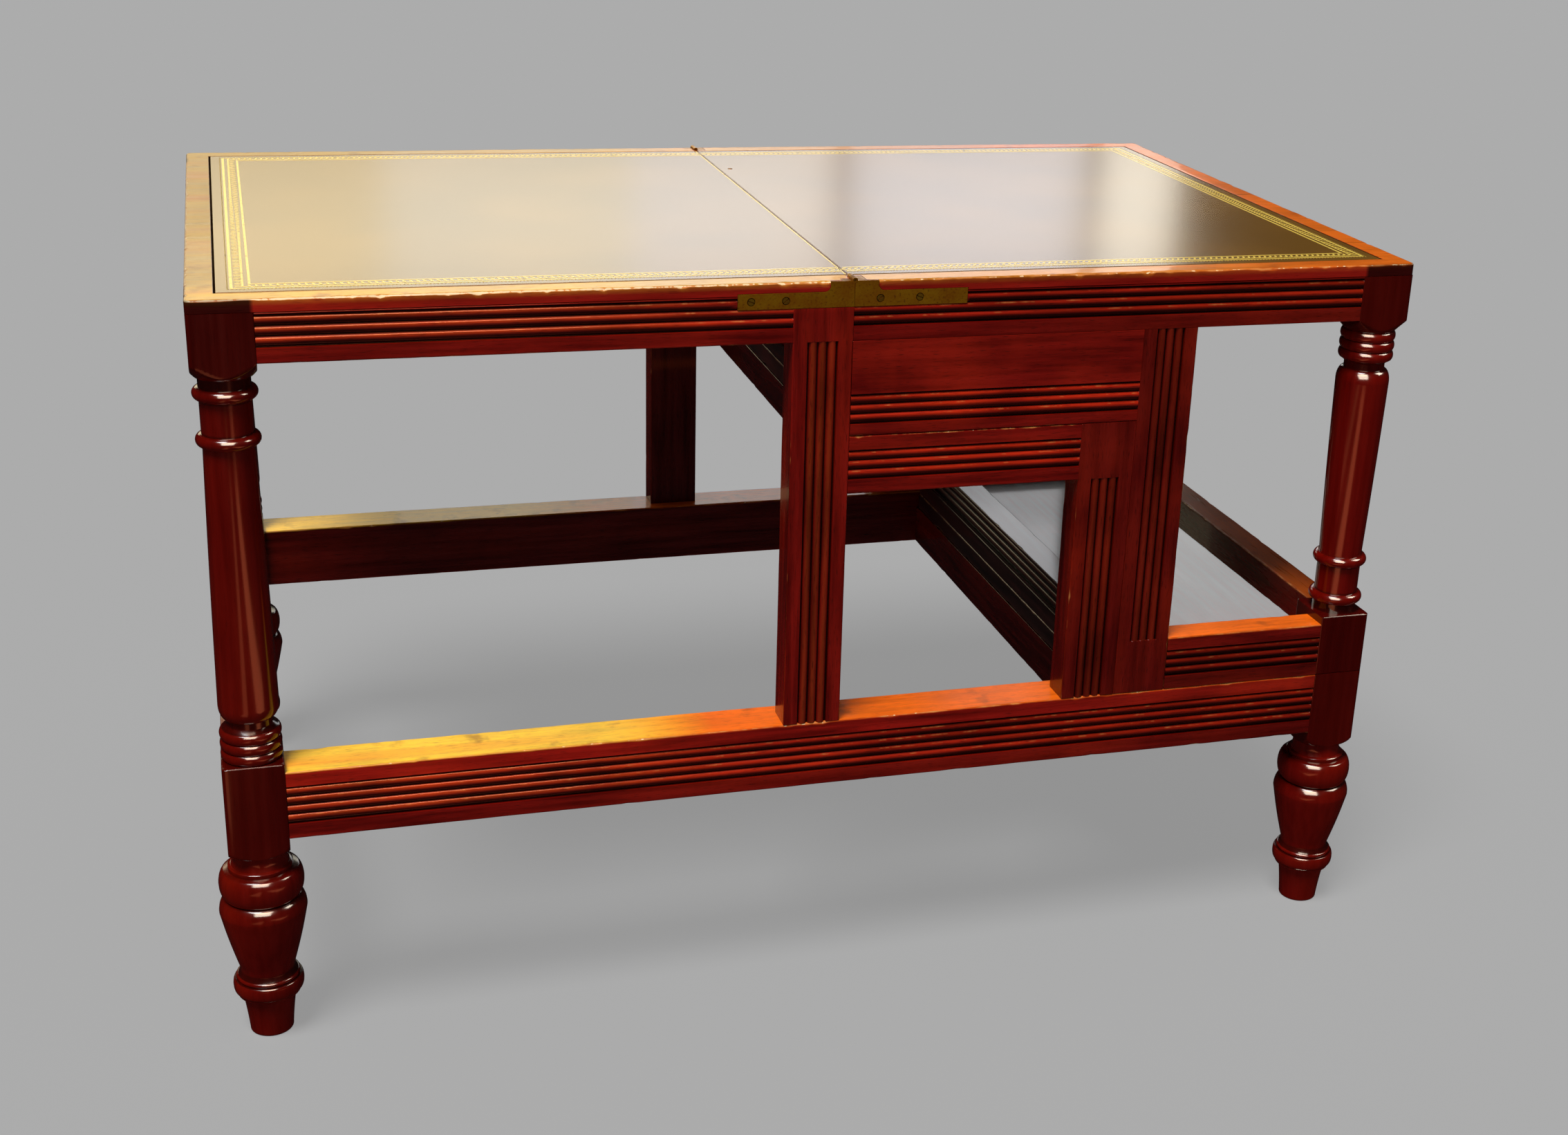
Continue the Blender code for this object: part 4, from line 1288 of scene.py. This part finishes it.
def screwTree():
    tree, get, keys = newTree("slottedScrews", screwSizes)
    inputs = {"Vertices": 28, "Radius Top": get["Head Radius"], "Radius Bottom": get["Shank Radius"],
              "Depth": get["Head Depth"]}
    cone = addNode(tree, "GeometryNodeMeshCone", inputs).outputs["Mesh"]
    head = moved(tree, cone, Translation=vectorOf(tree, z=times(tree, get["Head Depth"], -1.0)))
    size = vectorOf(tree, 0.02, get["Slot Width"], times(tree, get["Slot Depth"], 2.0))
    bar = addNode(tree, "GeometryNodeMeshCube", {"Size": size}).outputs["Mesh"]
    inputs = {"Mesh 1": head, "Mesh 2": bar}
    slotted = addNode(tree, "GeometryNodeMeshBoolean", inputs, operation="DIFFERENCE").outputs["Mesh"]
    inputs = {"Vertices": 16, "Radius": get["Shank Radius"], "Depth": get["Shank Length"]}
    rod = addNode(tree, "GeometryNodeMeshCylinder", inputs).outputs["Mesh"]
    reach = times(tree, plus(tree, get["Shank Length"], get["Head Depth"]), -0.5)
    drop = calc(tree, "SUBTRACT", reach, times(tree, get["Head Depth"], 0.25))
    shank = moved(tree, rod, Translation=vectorOf(tree, z=drop))

    def named(label, kind):
        made = addNode(tree, "GeometryNodeInputNamedAttribute", {"Name": label}, data_type=kind)
        return made.outputs["Attribute"]

    outward = {"Vector": named("outward", "FLOAT_VECTOR")}
    facing = addNode(tree, "FunctionNodeAlignRotationToVector", outward, axis="Z").outputs["Rotation"]
    turn = {"Axis": (0.0, 0.0, 1.0), "Angle": named("turn", "FLOAT")}
    driven = addNode(tree, "FunctionNodeAxisAngleToRotation", turn).outputs["Rotation"]
    inputs = {"Rotation": facing, "Rotate By": driven}
    turned = addNode(tree, "FunctionNodeRotateRotation", inputs, rotation_space="LOCAL")
    endTree(tree, get["Geometry"], joined(tree, slotted, shank), turned.outputs["Rotation"], screwBrass)
    return tree, keys


def makeScrews():
    tree, keys = screwTree()
    for half, _ in halves:
        nodes = [f"{side}_{half}_screw_{place}" for side, _ in sides for place in ("near", "far")]
        points, outward, turns = [], [], []
        for index, node in enumerate(nodes):
            lo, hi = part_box(node)
            way = -1.0 if node.startswith("front") else 1.0
            points.append(((lo.x + hi.x) / 2, lo.y if way < 0 else hi.y, (lo.z + hi.z) / 2))
            outward += [0.0, way, 0.0]
            turns.append(0.7 + 2.1 * index)
        mesh = bpy.data.meshes.new("screwSpots")
        mesh.from_pydata(points, [], [])
        markMesh(mesh, "outward", outward, "FLOAT_VECTOR")
        markMesh(mesh, "turn", turns)
        piece = growPiece(f"{half}HingeScrews", mesh, tree, keys, screwSizes)
        dressPiece(piece, nodes, None, 30.0, weighted=False)


stud = {
    "at": (0.014, 0.217),
    "radius": 0.0030,
    "rise": 0.0005,
    "sink": 0.0008,
    "profile": ((0.0, 1.0), (0.6, 0.93), (0.9, 0.7), (1.0, 0.35)),     # shares of the rise and radius
}


def makeStud():
    # Low brass stud let into the leather near the back of the swinging half
    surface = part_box("right_leather")[1].z
    levels = [(-stud["sink"], 1.0)]
    for share, width in stud["profile"]:
        levels.append((share * stud["rise"], width))
    rings = []
    for level, width in levels:
        plan = circle(*stud["at"], stud["radius"] * width, 24)
        rings.append([(*point, surface + level) for point in plan])
    trimPiece(loftPiece("brassStud", rings), "right_leather", brass)


makeLegs()
makeBottomRails()
print("legs and bottom rails made")
topRails = makeTopRails()
centrePosts = makePosts()
makeStepFrame()
makeCrossBoards()
print("rails, posts and treads made")
topBoards = {half: topBoard(half) for half, _ in halves}
makeHinges(topBoards, topRails, centrePosts)
for half, board in topBoards.items():
    dressPiece(board, [f"{half}_top_board"], topWood, sharp=40.0)
    leatherPiece(half)
for (side, half), rail in topRails.items():
    dressPiece(rail, [f"{side}_top_rail_{half}"], railWood)
for side, post in centrePosts.items():
    dressPiece(post, [f"{side}_centre_post"], postWood)
makeScrews()
print("top, hinges and screws made")
makeTooling()
makeStud()
print("gilt tooling made")


# Studio

studio = {
    "floorGrey": (0.10, 0.10, 0.10),
    "floorGlow": 0.283,
    "floorReach": 60.0,
    "ambient": 0.22,
    "dusk": 0.006,            # how bright the room is in the polish
    "backdrop": 0.407,
    "sunFrom": (-0.27, -0.30, 0.914),
    "sunPower": 3.7,
    "sunSpread": 24.0,
    "panelsBack": 3.0,
    "panelRows": (("Low", 1.30, 0.28), ("High", 1.61, 0.34)),     # middle and height
}


def makeFloor():
    reach = studio["floorReach"]
    corners = [(-reach, -reach, 0.0), (reach, -reach, 0.0), (reach, reach, 0.0), (-reach, reach, 0.0)]
    mesh = bpy.data.meshes.new("floor")
    mesh.from_pydata(corners, [], [(0, 1, 2, 3)])
    mesh.materials.append(makeMatt("paleFloor", studio["floorGrey"], studio["floorGlow"]))
    floor = linkPiece("floor", mesh)
    floor.visible_glossy = False


def makeWorld():
    # Soft light from all round, dim in the polish, and grey where the camera looks past the floor
    world = bpy.data.worlds.new("studioRoom")
    scene.world = world
    world.use_nodes = True
    tree = world.node_tree
    path = addNode(tree, "ShaderNodeLightPath").outputs
    strength = spread(tree, path["Is Glossy Ray"], 0.0, 1.0, studio["ambient"], studio["dusk"])
    grey = times(tree, path["Is Camera Ray"], studio["backdrop"] - studio["ambient"])
    inputs = {"Color": (1.0, 1.0, 1.0), "Strength": plus(tree, strength, grey)}
    fill(tree, tree.nodes["Background"], inputs)


def addLamp(name, place, target, power, colour, size=None, shownIn=None):
    # A lamp with a size only shows in the polish, on all pieces or on one group
    data = bpy.data.lights.new(name, "AREA" if size else "SUN")
    data.energy = power
    data.color = colour
    lamp = bpy.data.objects.new(name, data)
    scene.collection.objects.link(lamp)
    lamp.location = place
    lamp.rotation_euler = (Vector(target) - Vector(place)).to_track_quat("-Z", "Y").to_euler()
    lamp.visible_camera = False
    if size:
        data.shape = "RECTANGLE"
        data.size, data.size_y = size
        lamp.visible_diffuse = False
    if shownIn:
        lamp.light_linking.receiver_collection = shownIn
    return lamp


white, cream, ember, glowRed = (1.0, 1.0, 1.0), (1.0, 0.90, 0.72), (1.0, 0.30, 0.13), (1.0, 0.24, 0.10)
# Pale panels behind the table: left, right, glow, the lower row's share of it, colour
panels = {
    "warmPanel": (-1.70, -0.20, 3.4, 0.48, (1.0, 0.86, 0.56)),
    "creamPanel": (-0.20, 0.42, 3.4, 0.55, (1.0, 0.94, 0.76)),
    "palePanel": (0.42, 0.96, 3.3, 0.60, (1.0, 0.97, 0.92)),
    "coolPanel": (1.00, 1.67, 3.1, 0.60, (0.97, 0.97, 1.0)),
    "lastPanel": (1.72, 1.95, 4.2, 0.60, (1.0, 0.95, 0.82)),
}
# Lamps for the reeds, legs and treads: place, target, power, colour, size, where they show
boxes = {
    "frontBox": ((-0.5, -2.5, 2.9), (-0.1, -0.3, 0.4), 110.0, ember, (1.5, 0.8)),
    "leftStrip": ((-0.76, -1.55, 0.01), (-0.76, -1.55, 1.0), 1.9, glowRed, (0.24, 1.5), legGroup),
    "rightStrip": ((0.02, -1.55, 0.01), (0.02, -1.55, 1.0), 6.5, glowRed, (0.42, 1.5), legGroup),
    "legBox": ((-0.65, -2.6, 2.3), (-0.2, -0.3, 0.3), 380.0, cream, (2.2, 2.2), legGroup),
    "sideBox": ((2.8, -1.0, 2.7), (-0.2, -0.3, 0.3), 150.0, cream, (1.4, 1.4), legGroup),
    "treadCard": ((2.5, 3.0, 1.55), (2.5, 0.0, 1.55), 3.5 * math.pi * 1.1, white, (1.1, 1.0), treadGroup),
}


def makeLights():
    sun = addLamp("keyLight", studio["sunFrom"], (0.0, 0.0, 0.0), studio["sunPower"], white)
    sun.data.angle = math.radians(studio["sunSpread"])
    for name, (left, right, glow, low, colour) in panels.items():
        x, width = (left + right) / 2, right - left
        for row, level, height in studio["panelRows"]:
            power = (low if row == "Low" else 1.0) * glow * math.pi * width * height
            place = (x, studio["panelsBack"], level)
            addLamp(name + row, place, (x, 0.0, level), power, colour, (width, height))
    for name, values in boxes.items():
        addLamp(name, *values)


view = {
    "place": (-0.5664, -2.22366, 1.21506),
    "turn": (69.149, -2.4282, -17.4316),
    "lens": 47.481,
    "sensor": 36.0,
    "shift": (-0.06936, -0.0045),
}


def makeCamera():
    data = bpy.data.cameras.new("camera")
    data.sensor_width = view["sensor"]
    data.lens = view["lens"]
    data.shift_x, data.shift_y = view["shift"]
    camera = bpy.data.objects.new("camera", data)
    scene.collection.objects.link(camera)
    camera.location = view["place"]
    camera.rotation_euler = [math.radians(angle) for angle in view["turn"]]
    scene.camera = camera


makeFloor()
makeWorld()
makeLights()
makeCamera()
scene.view_settings.view_transform = "Standard"
print("studio set")
